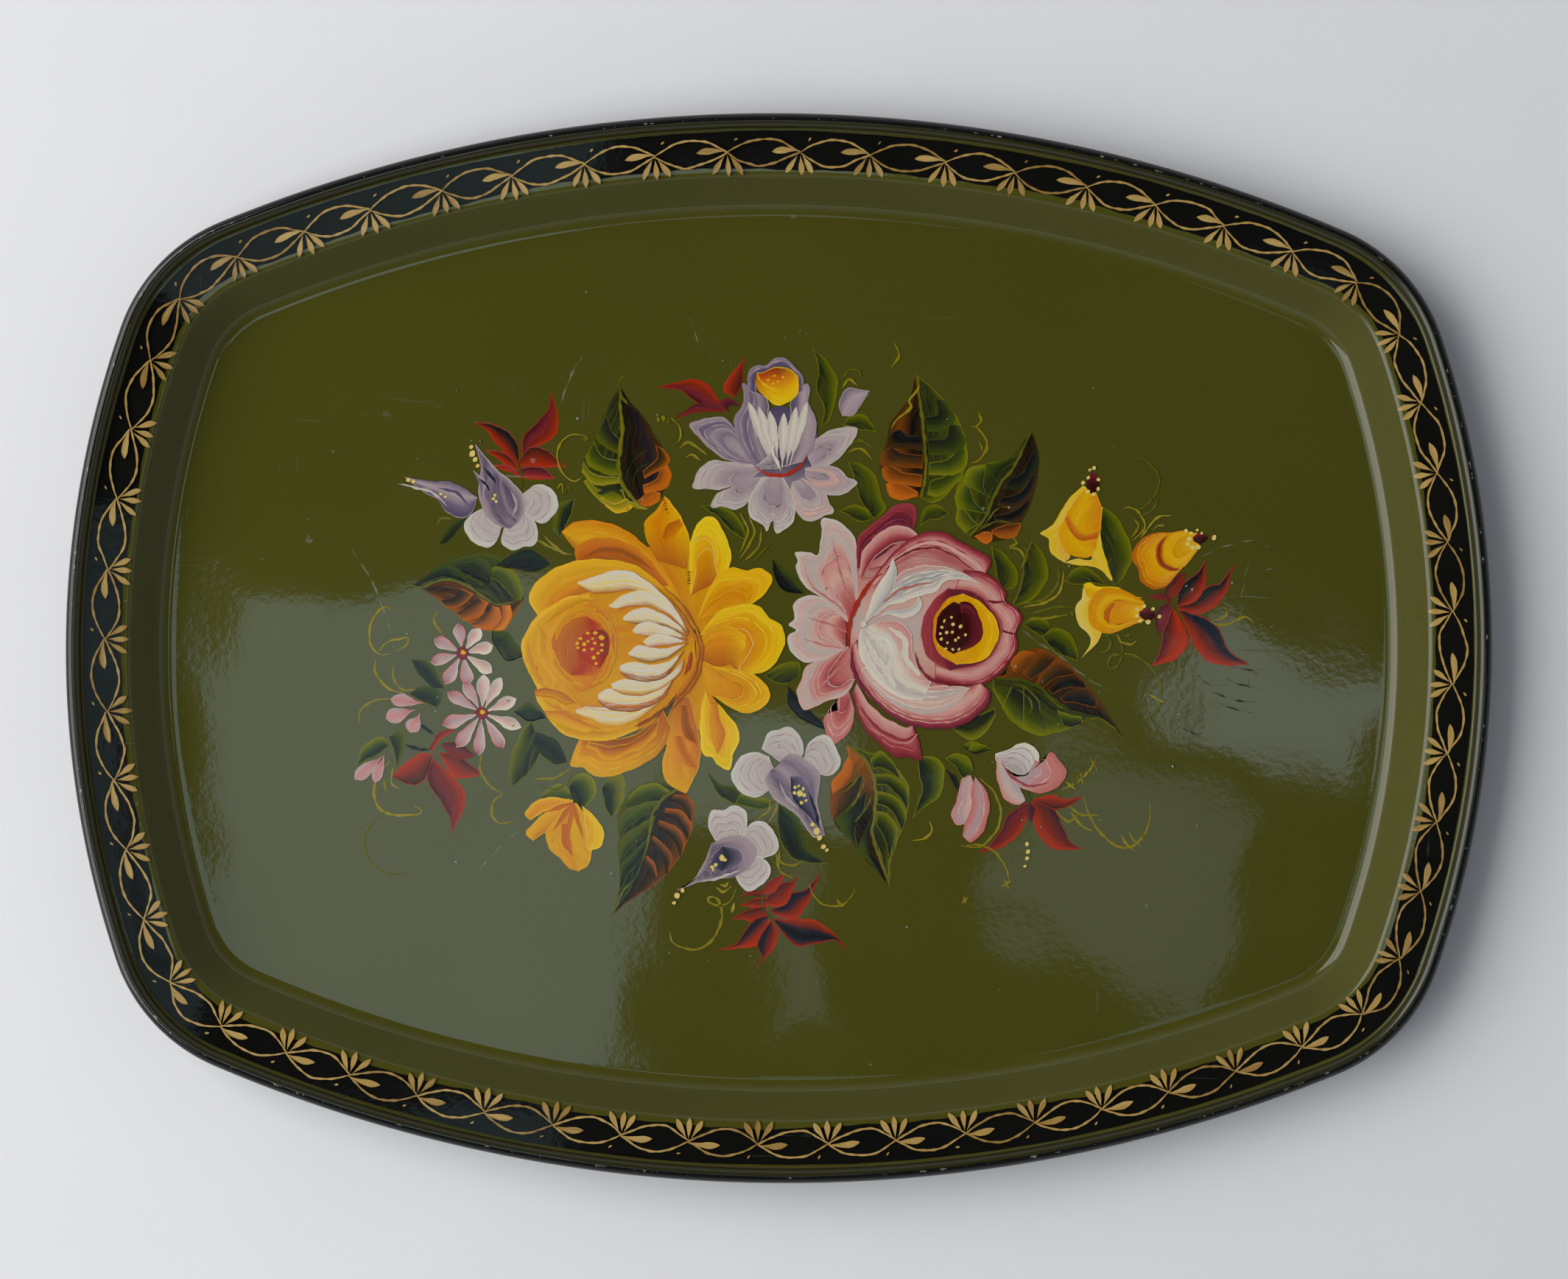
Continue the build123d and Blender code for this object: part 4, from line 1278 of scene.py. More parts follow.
    petal(p, [(-26, 4), (-20, 11.5), (-12, 14.2), (-7, 13.8), (-3, 9.8), (1, 7), (1.9, 2), (0, -3),
              (-4, -7.5), (-12, -9)],
          [(-26, 4), (-20, 5), (-15, 6), (-11, 5.5), (-9.5, 3.5), (-9, 1.5), (-9.5, -1), (-11, -3.5),
           (-13, -6), (-12, -9)],
          "lemon gold amber orange", heart="orange amber copper", ridges=(0.3, 0.55), ridge_tone="lemon",
          edge="butter")
    petal(p, [(-26, -4), (-18, -6.5), (-10, -8), (-5, -11), (-2.7, -15.5), (-4, -18.3), (-8.5, -21.2),
              (-14, -20.5), (-22, -15.5)],
          [(-26, -4), (-22, -7), (-17, -10), (-13, -12), (-11.5, -14), (-12, -15.5), (-14, -16.5),
           (-17, -16.5), (-22, -15.5)],
          "gold amber amber orange", heart="orange amber", ridges=(0.3, 0.5), ridge_tone="lemon",
          edge="lemon")
    p.patch([(-27, 2), (-22, 6), (-16, 7), (-11, 4)], [(-27, -3), (-21, -6), (-15, -5), (-11, 0)],
            "amber orange copper", finish="gold")
    # the cup: outside, then the open mouth
    petal(p, [(-62, 17), (-69, 16.3), (-75, 13), (-80, 9), (-84.3, 0.5), (-82.5, -7), (-79.2, -13.3),
              (-79.7, -16), (-76, -22.5), (-71, -28.2), (-64, -30.5), (-55, -30.5), (-46, -27)],
          [(-62, 14), (-67, 12), (-72, 8), (-75, 3), (-75.3, -3), (-73, -8), (-70, -12.5), (-67.5, -16),
           (-65, -19), (-61, -22), (-57, -24), (-52, -25), (-46, -24)],
          "gold honey amber amber orange", ridges=(0.5, 0.88), ridge_tone="honey", edge="gold")
    for line, width in (
        ([(-82.5, 2), (-81.5, -5), (-78.5, -11), (-75.5, -14.5)], 3.0),
        ([(-79, 7.5), (-77.5, 3), (-77.7, -4)], 2.6),
        ([(-60, 15.5), (-67, 14.6), (-73, 11), (-77, 7)], 2.8),
        ([(-77, -17.5), (-72, -21), (-66, -23.5), (-60, -24)], 2.8),
        ([(-74, -24.5), (-68, -27.8), (-60, -28.8), (-52, -28)], 2.6),
    ):
        p.line(line, width, "gold amber orange copper", streak="honey", edge="honey")
    p.patch([(-80, -14.3), (-76, -13.7), (-71, -15), (-66, -18.5)],
            [(-79.5, -16.3), (-74, -17), (-70, -19), (-66, -18.5)], "copper amber", edge="ember")
    p.patch([(-77, -21), (-71, -21.5), (-65, -24), (-58, -27)],
            [(-75, -24), (-70, -26.5), (-64, -28.3), (-58, -27)], "ember amber honey")
    petal(p, [(-62, 14.5), (-69, 12), (-75, 5), (-75.7, -3), (-72, -10.5), (-66, -15.5)],
          [(-62, 14.5), (-56.5, 10.5), (-53.3, 3), (-54, -5.5), (-58, -12), (-66, -15.5)],
          "amber orange orange ember", ridges=(0.1, 0.2, 0.32), ridge_tone="honey", edge="gold")
    petal(p, [(-63, 10), (-69, 8.8), (-73.5, 4.5), (-74.3, -1), (-72, -6), (-68, -9.5)],
          [(-63, 10), (-57, 6.5), (-55.3, 1), (-56.5, -4.5), (-60, -9.3), (-68, -9.5)],
          "ember copper scarlet ember", ridges=(0.15, 0.3), ridge_tone="ember", edge="orange")
    for line in (
        [(-60, 12.3), (-66.5, 11), (-71.5, 7), (-73, 2)],
        [(-74, -1), (-72.5, -6.5), (-68.5, -11), (-64, -13)],
        [(-61, -12.5), (-57, -9), (-55, -4), (-54.8, 1)], [(-55, 3), (-57, 8), (-61, 11)],
    ):
        p.line(line, 2.2, "honey orange ember", streak="amber", edge="gold")
    p.patch([(-62.5, 5), (-65.3, 2.5), (-65.8, -2), (-62, -5.5), (-58.5, -7)],
            [(-62.5, 5), (-58, 5.5), (-55.5, 3.2), (-56, -2.5), (-58.5, -7)], "scarlet scarlet brick",
            edge="scarlet")
    for x, y, size in (
        (-60.1, 4.5, 1.7), (-58.1, 3, 2.1), (-62.6, 4.4, 1.4), (-65, 2.6, 1.5), (-66, 1, 1.3),
        (-65.8, -0.4, 1.2),
        (-63.7, 0.8, 1.5), (-60.3, 1.1, 1.4), (-57.9, 0.5, 1.3), (-61.1, -0.8, 1.3), (-58, -1.2, 1.4),
        (-63.7, -1.2, 1.3),
        (-60.6, -3.7, 1.5), (-59.2, -2.2, 1.2), (-59.8, -5.6, 1.3), (-62.5, 1.8, 1.1), (-61, 2.6, 1.1),
    ):
        p.dot(x, y, size, size * 0.9, "gold", streak="lemon")
    # the white petals folded round the cup's right side, all gathered near one point
    for top, low, tones in (
        ([(-66.5, -20.5), (-62, -19.2), (-56, -19.5), (-47, -19), (-38, -15)],
         [(-66, -22), (-61, -24), (-56, -25.8), (-50, -25.3), (-43, -21.5), (-36, -15)],
         "ember butter cream honey"),
        ([(-59, -15.5), (-55, -13.6), (-48, -14), (-40, -13.5), (-33, -8)],
         [(-59, -18), (-56, -20.2), (-50, -21.3), (-44, -20.2), (-38, -16.5), (-33, -8)],
         "milk cream cream ember rust"),
        ([(-54.8, -12), (-50, -10.5), (-43, -11), (-36, -9), (-31, -4)],
         [(-54.2, -14.2), (-49, -15.9), (-43, -15.5), (-37, -12.7), (-32, -8), (-31, -4)],
         "cream milk butter copper"),
        ([(-52, -6.2), (-48, -4.8), (-43, -5.6), (-37, -5), (-31, -1)],
         [(-51.7, -8.7), (-48, -10.8), (-43, -11.3), (-37, -9.7), (-31, -1)],
         "cream milk milk copper rust"),
        ([(-66.2, 21), (-61, 22.7), (-56, 24.5), (-50, 25), (-45, 22.7), (-39, 18), (-34, 12.5),
          (-29.5, 5)],
         [(-65.5, 20), (-62, 17.8), (-57, 17.4), (-50, 18.5), (-44, 17.5), (-37, 13.5), (-29.5, 5)],
         "milk cream butter copper"),
        ([(-56, 13.3), (-51, 17), (-45, 18.6), (-39, 16.5), (-33, 10.5), (-29.5, 4)],
         [(-53, 12.3), (-48, 13.2), (-42, 13.2), (-35, 9.5), (-29.5, 4)], "butter milk cream copper"),
        ([(-51.3, 9.3), (-48, 12), (-43.5, 12.8), (-38, 10.8), (-32.5, 7), (-30, 3.5)],
         [(-50.3, 8.3), (-46, 7.5), (-42, 7.8), (-36, 6.5), (-30, 3.5)], "cream milk butter rust"),
        ([(-48, 5.2), (-46, 7.6), (-42.5, 8.2), (-37, 6.7), (-32, 4.2), (-30, 2.5)],
         [(-46.5, 4), (-42, 3.3), (-37, 3.4), (-30, 2.5)], "milk cream copper"),
        ([(-49.3, -2), (-46, 0.5), (-42, 0), (-38, -0.5), (-30, 1.3)],
         [(-48.8, -3), (-45, -4.6), (-41, -4.8), (-36, -3.2), (-30, 1.3)], "milk milk cream rust"),
        ([(-44.5, 1.8), (-41, 4.3), (-37, 4), (-30, 1.8)],
         [(-42.5, -0.2), (-38, 0.4), (-34, 1), (-30, 1.8)], "cream milk ember"),
    ):
        petal(p, top, low, tones, ridges=(0.3, 0.55), ridge_tone="butter", streak="milk", finish="copper",
              reach=0.35)
        upper, lower = (evenly(smooth_curve(side), 9)[:8] for side in (top, low))
        for share in (0.14, 0.34, 0.62):
            p.line(upper + share * (lower - upper), 0.55, "milk", streak="cream", taper=(0.2, 0.5))
    p.line([(-40, 19), (-34, 13.5), (-29.5, 7), (-26.7, 1.5), (-26.5, -3), (-28, -9), (-31, -14),
            (-37, -20)], 0.9,
           "copper", streak="honey")
    p.line([(-38, 19.5), (-32.5, 14.5), (-28, 7.5), (-25.5, 1.5), (-25.3, -3), (-26.5, -9), (-29.5, -14),
            (-35.5, -20.5)],
           0.7, "copper", streak="honey")
    p.line([(-29, -1.5), (-29.3, -5), (-31, -9)], 1.1, "scarlet", streak="ember")
    p.line([(-47, -26), (-42, -23.5), (-37, -19.5)], 0.9, "rust", streak="copper")


def paint_pink_rose(p):
    # a first coat behind the petals
    p.patch([(24.5, 24), (27, 35), (35, 41), (44, 39)], [(26, 16), (33, 22), (42, 27), (52, 28)],
            "wine cerise rose blush", free="")
    p.patch([(24, 27), (33, 27), (44, 34), (56, 32), (66, 25)],
            [(23, -4), (30, -16), (42, -20), (56, -20), (67, -12)],
            "cerise rose blush pearl blush salmon cerise", streak="blush", free="")
    # pale petals at the left
    petal(p, [(20, -20), (15.2, -22), (15.3, -27), (18, -31.3), (22, -28.5), (24.3, -25), (24.8, -20)],
          [(20, -13), (19.3, -17), (19.5, -20), (21, -21), (22.5, -19), (23, -14)],
          "salmon rose salmon cerise", heart="cerise salmon", ridges=(0.25, 0.5), ridge_tone="blush",
          edge="blush")
    petal(p, [(23, 1), (16, -2.5), (9, -6), (7.2, -11), (5.8, -14.5), (8.3, -20.2), (12, -19),
              (16, -17.2), (22, -15), (25, -10)],
          [(23, 1), (20, -3), (17.5, -6), (16.5, -8.5), (16.3, -10.5), (17, -12), (19, -12.3),
           (21, -11.5), (23.5, -10), (25, -10)],
          "blush pearl rose salmon cerise", heart="cerise salmon rose", ridges=(0.2, 0.35, 0.5, 0.65),
          ridge_tone="blush", edge="chalk")
    petal(p, [(22, 12), (13, 16.8), (8, 17), (4.5, 14), (5, 9.6), (3, 7.5), (5.6, 5.8), (2.7, 3.6),
              (3.8, -0.8), (8, -4.5), (14, -3.7), (22, 0)],
          [(22, 12), (18, 11.5), (15, 10.5), (13.5, 9), (13, 7.5), (13, 6.5), (13.3, 5.5), (14, 4.5),
           (15, 3.5), (17, 2.5), (19, 1.5), (22, 0)],
          "chalk blush pearl blush rose", heart="rose blush salmon cerise",
          ridges=(0.2, 0.35, 0.5, 0.65, 0.8), ridge_tone="pearl", edge="chalk")
    petal(p, [(23, 8), (13, 17), (8.5, 20), (5.2, 26), (6, 28.5), (5, 31.5), (10, 31.2), (12.6, 31),
              (13.6, 38), (14, 42.6), (20, 41), (24.7, 35.5), (25.3, 26), (26, 14)],
          [(23, 8), (18, 18), (15.5, 21), (14, 24), (14.3, 26), (15, 27.5), (16.2, 28.5), (17.5, 29),
           (18.7, 30), (20, 30.5), (21.5, 29.5), (22.8, 26.5), (24, 20), (26, 14)],
          "chalk blush pearl blush rose", heart="rose blush salmon cerise",
          ridges=(0.18, 0.32, 0.46, 0.6, 0.75), ridge_tone="pearl", edge="chalk")
    for line in (
        [(23, 10), (18, 15), (12, 19), (8.5, 24)], [(24, 14), (21, 21), (19, 28), (17, 36)],
        [(23, 5), (16, 8), (9, 10)],
        [(22, 0), (15, 1), (8, 3)], [(23, -4), (17, -9), (12, -15)],
    ):
        p.line(line, 0.7, "rose", streak="cerise")
    # dark petals behind
    petal(p, [(25.3, 26), (25.2, 35), (28, 39), (33, 43), (37, 46.5), (41, 47.8), (44.3, 46.3),
              (44.5, 42), (43, 38)],
          [(27, 26), (28, 31), (30.5, 34), (33, 36.5), (36, 38.5), (38.5, 39.3), (40.5, 39), (42, 38.5),
           (43, 38)],
          "cerise wine plum cerise", heart="wine plum", ridges=(0.3, 0.6), ridge_tone="cerise",
          edge="salmon")
    petal(p, [(26, 24), (27, 31.5), (30, 35.5), (34, 39), (38, 40.3), (42, 39.8), (45, 37.5)],
          [(27, 22), (29.5, 27.5), (33, 31.5), (37, 34), (41, 35), (45, 34)], "blush rose cerise wine",
          edge="blush", ridges=(0.35,), ridge_tone="rose")
    petal(p, [(30, 22), (34.5, 28.5), (39, 33.3), (44, 37), (49, 38.5), (54, 38.2), (60, 34.8),
              (66, 31.8), (69.3, 29), (67, 24)],
          [(31, 20), (36, 26), (42, 30), (48, 32), (54, 31), (59, 28), (63, 25), (67, 24)],
          "wine cerise rose blush rose cerise", ridges=(0.2, 0.45, 0.7), ridge_tone="cerise",
          edge="salmon")
    p.line([(33, 24), (38, 29), (43, 32), (50, 33.2), (56, 31.2), (62, 27), (66, 24)], 0.7, "wine",
           streak="cerise")
    # the outer cup
    petal(p, [(60, 26), (66, 25.5), (71, 22.8), (74.3, 18.5), (73.8, 16), (77.5, 14), (79.5, 10),
              (77.3, 5.5), (78.2, 2), (76.5, -2.5), (72, -8), (67, -11.3), (60, -12), (51, -10)],
          [(57, 19), (61, 18.5), (65, 17), (67.5, 15), (69, 13), (71, 10.5), (72, 8), (72, 5), (71, 2),
           (69, -1), (66, -3.5), (61, -5.3), (56, -5), (51, -4)],
          "wine cerise rose blush salmon cerise", ridges=(0.15, 0.3, 0.6, 0.8), ridge_tone="rose",
          edge="cerise")
    p.line([(74, 16), (70, 15.5), (66.5, 16.5)], 0.8, "wine")
    p.line([(77.5, 5.3), (75, 5.5), (72.5, 6.5)], 0.8, "wine")
    # under the cup: bowl and folds
    petal(p, [(24, -15), (26, -22), (29, -27.5), (34, -32), (38, -35.3), (42, -35.3), (46.7, -36.3),
              (46.3, -31), (44, -25)],
          [(25.5, -11), (29, -17), (32, -20), (35, -22.5), (38, -24), (40, -25), (42, -25.5), (43.5, -25),
           (44, -25)],
          "wine cerise rose blush", ridges=(0.25, 0.5), ridge_tone="salmon", edge="cerise")
    p.patch([(26.3, -18), (31, -24), (36, -27.5), (41, -29.3), (46, -27.5)],
            [(27, -21), (31, -26.3), (36, -29.5), (42, -31), (46, -27.5)], "wine cerise salmon",
            edge="blush")
    petal(p, [(23.5, 0), (25, -8), (29, -14.5), (35, -20.7), (42, -24.6), (50, -26), (58, -25.5),
              (64, -22.5), (68.5, -18), (69.2, -14), (66, -11)],
          [(25.5, 3), (29, -5), (33, -9.5), (38, -13), (43, -15), (48, -16), (53, -15.5), (57, -14),
           (60, -12.5), (63, -11.5), (66, -11)],
          "plum cerise rose blush salmon wine", ridges=(0.2, 0.32, 0.45, 0.58, 0.72), ridge_tone="blush",
          edge="wine")
    petal(p, [(27, -7), (31, -12.5), (37, -17.5), (45, -20.8), (53, -20.5), (59, -17), (62.5, -12.5)],
          [(29, -5), (34, -8.5), (40, -11), (46, -12), (52, -12), (57, -11.8), (62.5, -12.5)],
          "pearl blush pearl rose", ridges=(0.2, 0.4, 0.6, 0.8), ridge_tone="milk", edge="milk")
    petal(p, [(26.5, 6), (26, -1), (29, -7), (33, -11.5), (39, -15.5), (47, -17)],
          [(33, 9), (39, 9), (43, 5.5), (43.5, 1), (45, -5), (50, -10.5)],
          "milk pearl milk blush rose", ridges=(0.12, 0.24, 0.36, 0.5, 0.65), ridge_tone="chalk",
          edge="milk")
    p.patch([(30.5, 5.5), (36, 4.5), (38.7, 0), (37, -6), (32.5, -11)],
            [(29, 2), (33, 1.5), (35, -2), (34, -7), (32.5, -11)], "chalk milk smoke", edge="milk")
    for line in (
        [(28.5, 6), (33, 2), (37, -2.5), (38.5, -8), (43, -12.5)],
        [(28.3, 4), (31, -2), (35, -7), (38, -12.5)],
        [(36, 7), (41, 3), (41.5, -3), (46, -8.5)], [(27.5, 2), (29.5, -4.5), (33.5, -9.5)],
    ):
        p.line(line, 1.9, "milk", streak="chalk", taper=(0.3, 0.6))
    p.line([(44.5, -1), (46, -6), (50, -10), (57, -11.5), (64, -11.5)], 1.0, "wine", streak="cerise")
    # white feathers above the cup
    petal(p, [(31, 10.3), (35.5, 14), (41, 15.5), (46, 17.5), (51, 18.7), (54, 22), (59, 23), (66, 21.5)],
          [(31, 12.5), (34, 18), (38, 23.5), (43, 26.5), (48, 27.5), (54, 27), (60, 25), (66, 21.5)],
          "milk pearl smoke pearl rose", ridges=(0.15, 0.3, 0.45, 0.6, 0.75), ridge_tone="milk",
          edge="milk")
    p.patch([(27.8, 8), (29.5, 14), (31.7, 20), (35, 25), (37.2, 30)],
            [(27.8, 8), (32, 12), (36.5, 18), (38.3, 24), (37.2, 30)], "milk chalk smoke", edge="milk")
    p.line([(33, 14), (38, 18.5), (44, 20.8), (50, 21.7)], 0.8, "salmon", streak="rose")
    petal(p, [(45.5, 17.5), (46.8, 14.5), (45, 11.8), (41, 10), (36, 11.3), (31, 9.3)],
          [(45.5, 17.5), (44.5, 15), (43, 13.5), (40, 12.8), (36, 12.5), (31, 9.3)], "milk chalk smoke",
          edge="milk")
    p.dot(27.6, 8, 2.0, 1.8, "milk", streak="chalk")
    p.line([(22.8, 0.3), (22.7, 5), (23.5, 10), (25.6, 15), (28.5, 20), (31, 23), (33.3, 24.6)], 1.4,
           "scarlet", streak="cerise")
    p.line([(23.4, -1), (24.5, -8), (28, -14)], 0.9, "wine", streak="cerise")
    # the mouth of the cup
    petal(p, [(55, 20), (50, 15.5), (46.8, 9), (46.7, 3), (49, -3), (56, -7)],
          [(55, 20), (64, 18.7), (70, 13), (72.8, 6), (68, -3.5), (56, -7)],
          "cerise wine plum wine", ridges=(0.1,), ridge_tone="cerise", edge="salmon")
    petal(p, [(60, 18.3), (55, 16.5), (51, 11), (50.3, 5), (52, -1), (58, -5)],
          [(60, 18.3), (66, 15.3), (71, 9.5), (71.5, 3.5), (67, -3.3), (58, -5)],
          "orange honey amber gold", ridges=(0.08, 0.9), ridge_tone="lemon", edge="lemon")
    p.patch([(57, 15.6), (53, 12.5), (51.3, 7.5), (52, 2), (57, -1.5)],
            [(57, 15.6), (62.5, 13.3), (66.5, 8), (65, 2), (57, -1.5)], "maroon maroon maroon wine",
            edge="maroon")
    p.patch([(59, 15.5), (61.5, 15.6), (64.5, 13), (66, 8.5)],
            [(59.5, 11.5), (61, 12.3), (63, 11), (66, 8.5)], "maroon wine maroon", edge="wine")
    for x, y in (
        (54, 9.3), (56.8, 8.2), (59.3, 7.5), (53.2, 7.2), (52.7, 5), (54.8, 5.5), (53, 3.4), (55, 2.2),
        (57.7, 3),
        (58.6, 3.8), (54.5, 0.2), (56.8, 0), (58.8, 0.1), (56.7, 5.6), (56.2, 10.5), (61, 4.8),
    ):
        p.dot(x, y, random.uniform(0.9, 1.5), 1.0, "butter", turn=random.uniform(0, 90), streak="cream")


def paint_lilac_flower(p):
    p.patch([(-14, 70), (-8, 76), (0, 79), (8, 76), (12, 70)],
            [(-12, 56), (-6, 52), (0, 52), (6, 52), (13, 57)], "indigo violet indigo lilac", free="")
    petal(p, [(-6, 59), (-10, 60.2), (-16, 60.7), (-22, 61.2), (-26, 59), (-28.3, 54.5), (-28.5, 52),
              (-24, 51.8), (-20, 51.5)],
          [(-6, 58), (-9, 58), (-12, 57.7), (-14.5, 57), (-16, 56), (-16.5, 55), (-16, 54), (-14, 53.5),
           (-12, 54)],
          "pearl pearl mauve lilac", heart="lilac mauve", ridges=(0.2, 0.4, 0.6), ridge_tone="mauve",
          edge="pearl")
    petal(p, [(8, 66), (13, 69.5), (18, 72), (25, 72.2), (23.7, 68), (21, 64.3), (17, 60.5), (11, 58.5)],
          [(8, 64.5), (11, 65.5), (13.5, 66), (15.5, 65.8), (16, 64.8), (15, 63.5), (13, 61.5), (10, 60)],
          "pearl pearl mauve lilac", heart="lilac mauve", ridges=(0.25, 0.5), ridge_tone="mauve",
          edge="pearl")
    petal(p, [(-9, 60), (-16, 60.9), (-22, 64), (-29.8, 72.3), (-26.5, 74.3), (-20, 75.5), (-16, 73),
              (-13, 67)],
          [(-9, 61), (-13, 62.5), (-16, 64.5), (-18.5, 67), (-18.5, 68.3), (-17, 69), (-15, 68.3),
           (-13, 66)],
          "mauve violet lilac violet", heart="lilac mauve", ridges=(0.2, 0.4, 0.6), ridge_tone="mauve",
          edge="mauve")
    petal(p, [(15, 50.2), (19, 50), (22.5, 51.5), (25.3, 54.3), (22, 56), (20, 58.3), (15, 60), (8, 59)],
          [(8, 56), (11, 55.5), (14, 55), (16, 55.3), (15.5, 56.3), (14, 57), (11.5, 57.8), (8, 58)],
          "pearl mauve blush mauve", heart="lilac mauve", ridges=(0.25, 0.5), ridge_tone="mauve",
          edge="pearl")
    petal(p, [(-17, 52), (-21, 50), (-22.6, 46), (-19, 46), (-15, 45.2), (-11.5, 46.5), (-9, 50),
              (-5, 56)],
          [(-11, 55.5), (-13.5, 53.5), (-14.5, 51.5), (-13.5, 50.5), (-12, 50.7), (-10.5, 51.7), (-8, 54),
           (-5, 56)],
          "pearl pearl mauve lilac", heart="lilac mauve", ridges=(0.25, 0.5), ridge_tone="mauve",
          edge="pearl")
    petal(p, [(3, 51), (5, 45.5), (8, 41.7), (12, 42), (15, 43.5), (17.6, 44.7), (16, 48), (14, 51.5),
              (7, 56)],
          [(4, 54.5), (6, 51), (8, 49), (9.5, 48.3), (10.8, 48.5), (11.5, 49.5), (11, 51), (10, 52.5),
           (7, 55.5)],
          "pearl blush pearl mauve", heart="lilac mauve", ridges=(0.2, 0.4, 0.6), ridge_tone="mauve",
          edge="pearl")
    petal(p, [(-6, 56), (-10, 49), (-10, 43.3), (-5.5, 40), (-4.2, 38.3), (-2.5, 41.5), (-1, 37.5),
              (3.5, 40.3), (5, 44), (4.3, 49), (1, 56)],
          [(-3, 56), (-5, 52), (-5, 48.5), (-4, 46.8), (-3.2, 46.2), (-2.2, 46.5), (-1.2, 46), (0.4, 47),
           (0.8, 49), (0.6, 52), (0, 56)],
          "chalk pearl pearl mauve lilac", heart="lilac mauve", ridges=(0.18, 0.34, 0.5, 0.66),
          ridge_tone="mauve", edge="pearl")
    # the cup, its throat and the white strokes over it
    petal(p, [(-8, 58.5), (-11.5, 63), (-14.5, 69), (-15.2, 75), (-12.2, 80.5), (-12.6, 86.5), (-9, 84)],
          [(-1, 58.5), (-3, 63), (-4, 69), (-4, 75), (-4, 79), (-5, 82), (-9, 84)],
          "lilac violet lilac indigo", ridges=(0.2, 0.4, 0.6), ridge_tone="mauve", edge="pearl")
    petal(p, [(7.5, 61), (11, 67), (11.5, 75), (9, 80), (9.6, 84), (8.3, 86.6), (5.5, 84)],
          [(0, 59), (2, 66), (3, 74), (3, 79), (3.5, 81), (4.5, 82.5), (5.5, 84)],
          "lilac mauve violet indigo", ridges=(0.2, 0.45), ridge_tone="mauve", edge="pearl")
    petal(p, [(-10.8, 84), (-10.8, 90), (-8, 92.3), (-5, 92.5), (-2.3, 94.5), (1, 95), (4, 92.3), (7, 89),
              (7.3, 84)],
          [(-8, 83), (-8, 87), (-6, 89), (-4, 90), (-2, 91), (0.5, 91), (3, 90), (5, 87.5), (5.5, 83)],
          "lilac violet indigo violet", ridges=(0.3,), ridge_tone="mauve", edge="mauve")
    p.patch([(-8, 90), (-8.3, 86), (-5, 81.7), (-1, 79.3), (3, 80.7), (5.7, 84), (5.5, 89)],
            [(-8, 90), (-5.5, 90.3), (-2.5, 91.7), (0, 92), (3, 91), (5, 89.5), (5.5, 89)],
            "lemon gold ember brick", start="scarlet", finish="gold", edge="lemon")
    p.line([(-8, 89.8), (-6.5, 87), (-3, 84.6), (0.5, 84), (3, 86), (4.5, 88)], 0.9, "gold",
           streak="lemon")
    for x, y in ((-4.2, 87.6), (-2.7, 86.4), (-1, 87.2), (0.6, 88.5), (-2.2, 89)):
        p.dot(x, y, 1.2, 0.9, "gold", streak="lemon")
    for tip, width, root in (
        ((-10.6, 80.5), 2.8, (-2.4, 59)), ((8.6, 80.6), 2.8, (2.8, 59)), ((-7.2, 79), 3.0, (-1.6, 58.5)),
        ((5.0, 79), 3.1, (1.8, 58.5)), ((-3.6, 77.6), 3.3, (-0.8, 58)), ((1.0, 77), 3.2, (0.6, 58)),
    ):
        p.leaf(root, tip, width, "chalk milk mauve", fullest=0.66, streak="milk", edge="milk",
               start="mauve")
    petal(p, [(-8.3, 59.5), (-5, 62), (-2.5, 66), (-2.2, 68)],
          [(-8.3, 59.5), (-4, 59), (-1, 61), (-2.2, 68)], "pearl lilac violet", edge="pearl")
    p.line([(-2, 67), (-2.6, 64), (-1, 60.5), (0.2, 58)], 1.0, "milk", streak="pearl")
    p.line([(-8.3, 59), (-5, 57.2), (-2, 56.4), (2, 56.8), (6, 59), (8.7, 63)], 1.2, "scarlet",
           streak="cerise")


# ---- the bouquet: bells, buds, daisies and tendrils ------------------------------------------------
def halfway(one, other):
    return one[0] * 0.5 + other[0] * 0.5, one[1] * 0.5 + other[1] * 0.5


def pale_petal(p, brim, foot):
    """A white petal of a bell: ridges follow its brim, and its foot is mauve."""
    root = [halfway(brim[0], foot), foot, halfway(brim[-1], foot)]
    petal(p, brim, root, "chalk pearl pearl mauve", ridges=(0.2, 0.4, 0.6), ridge_tone="mauve",
          edge="milk")


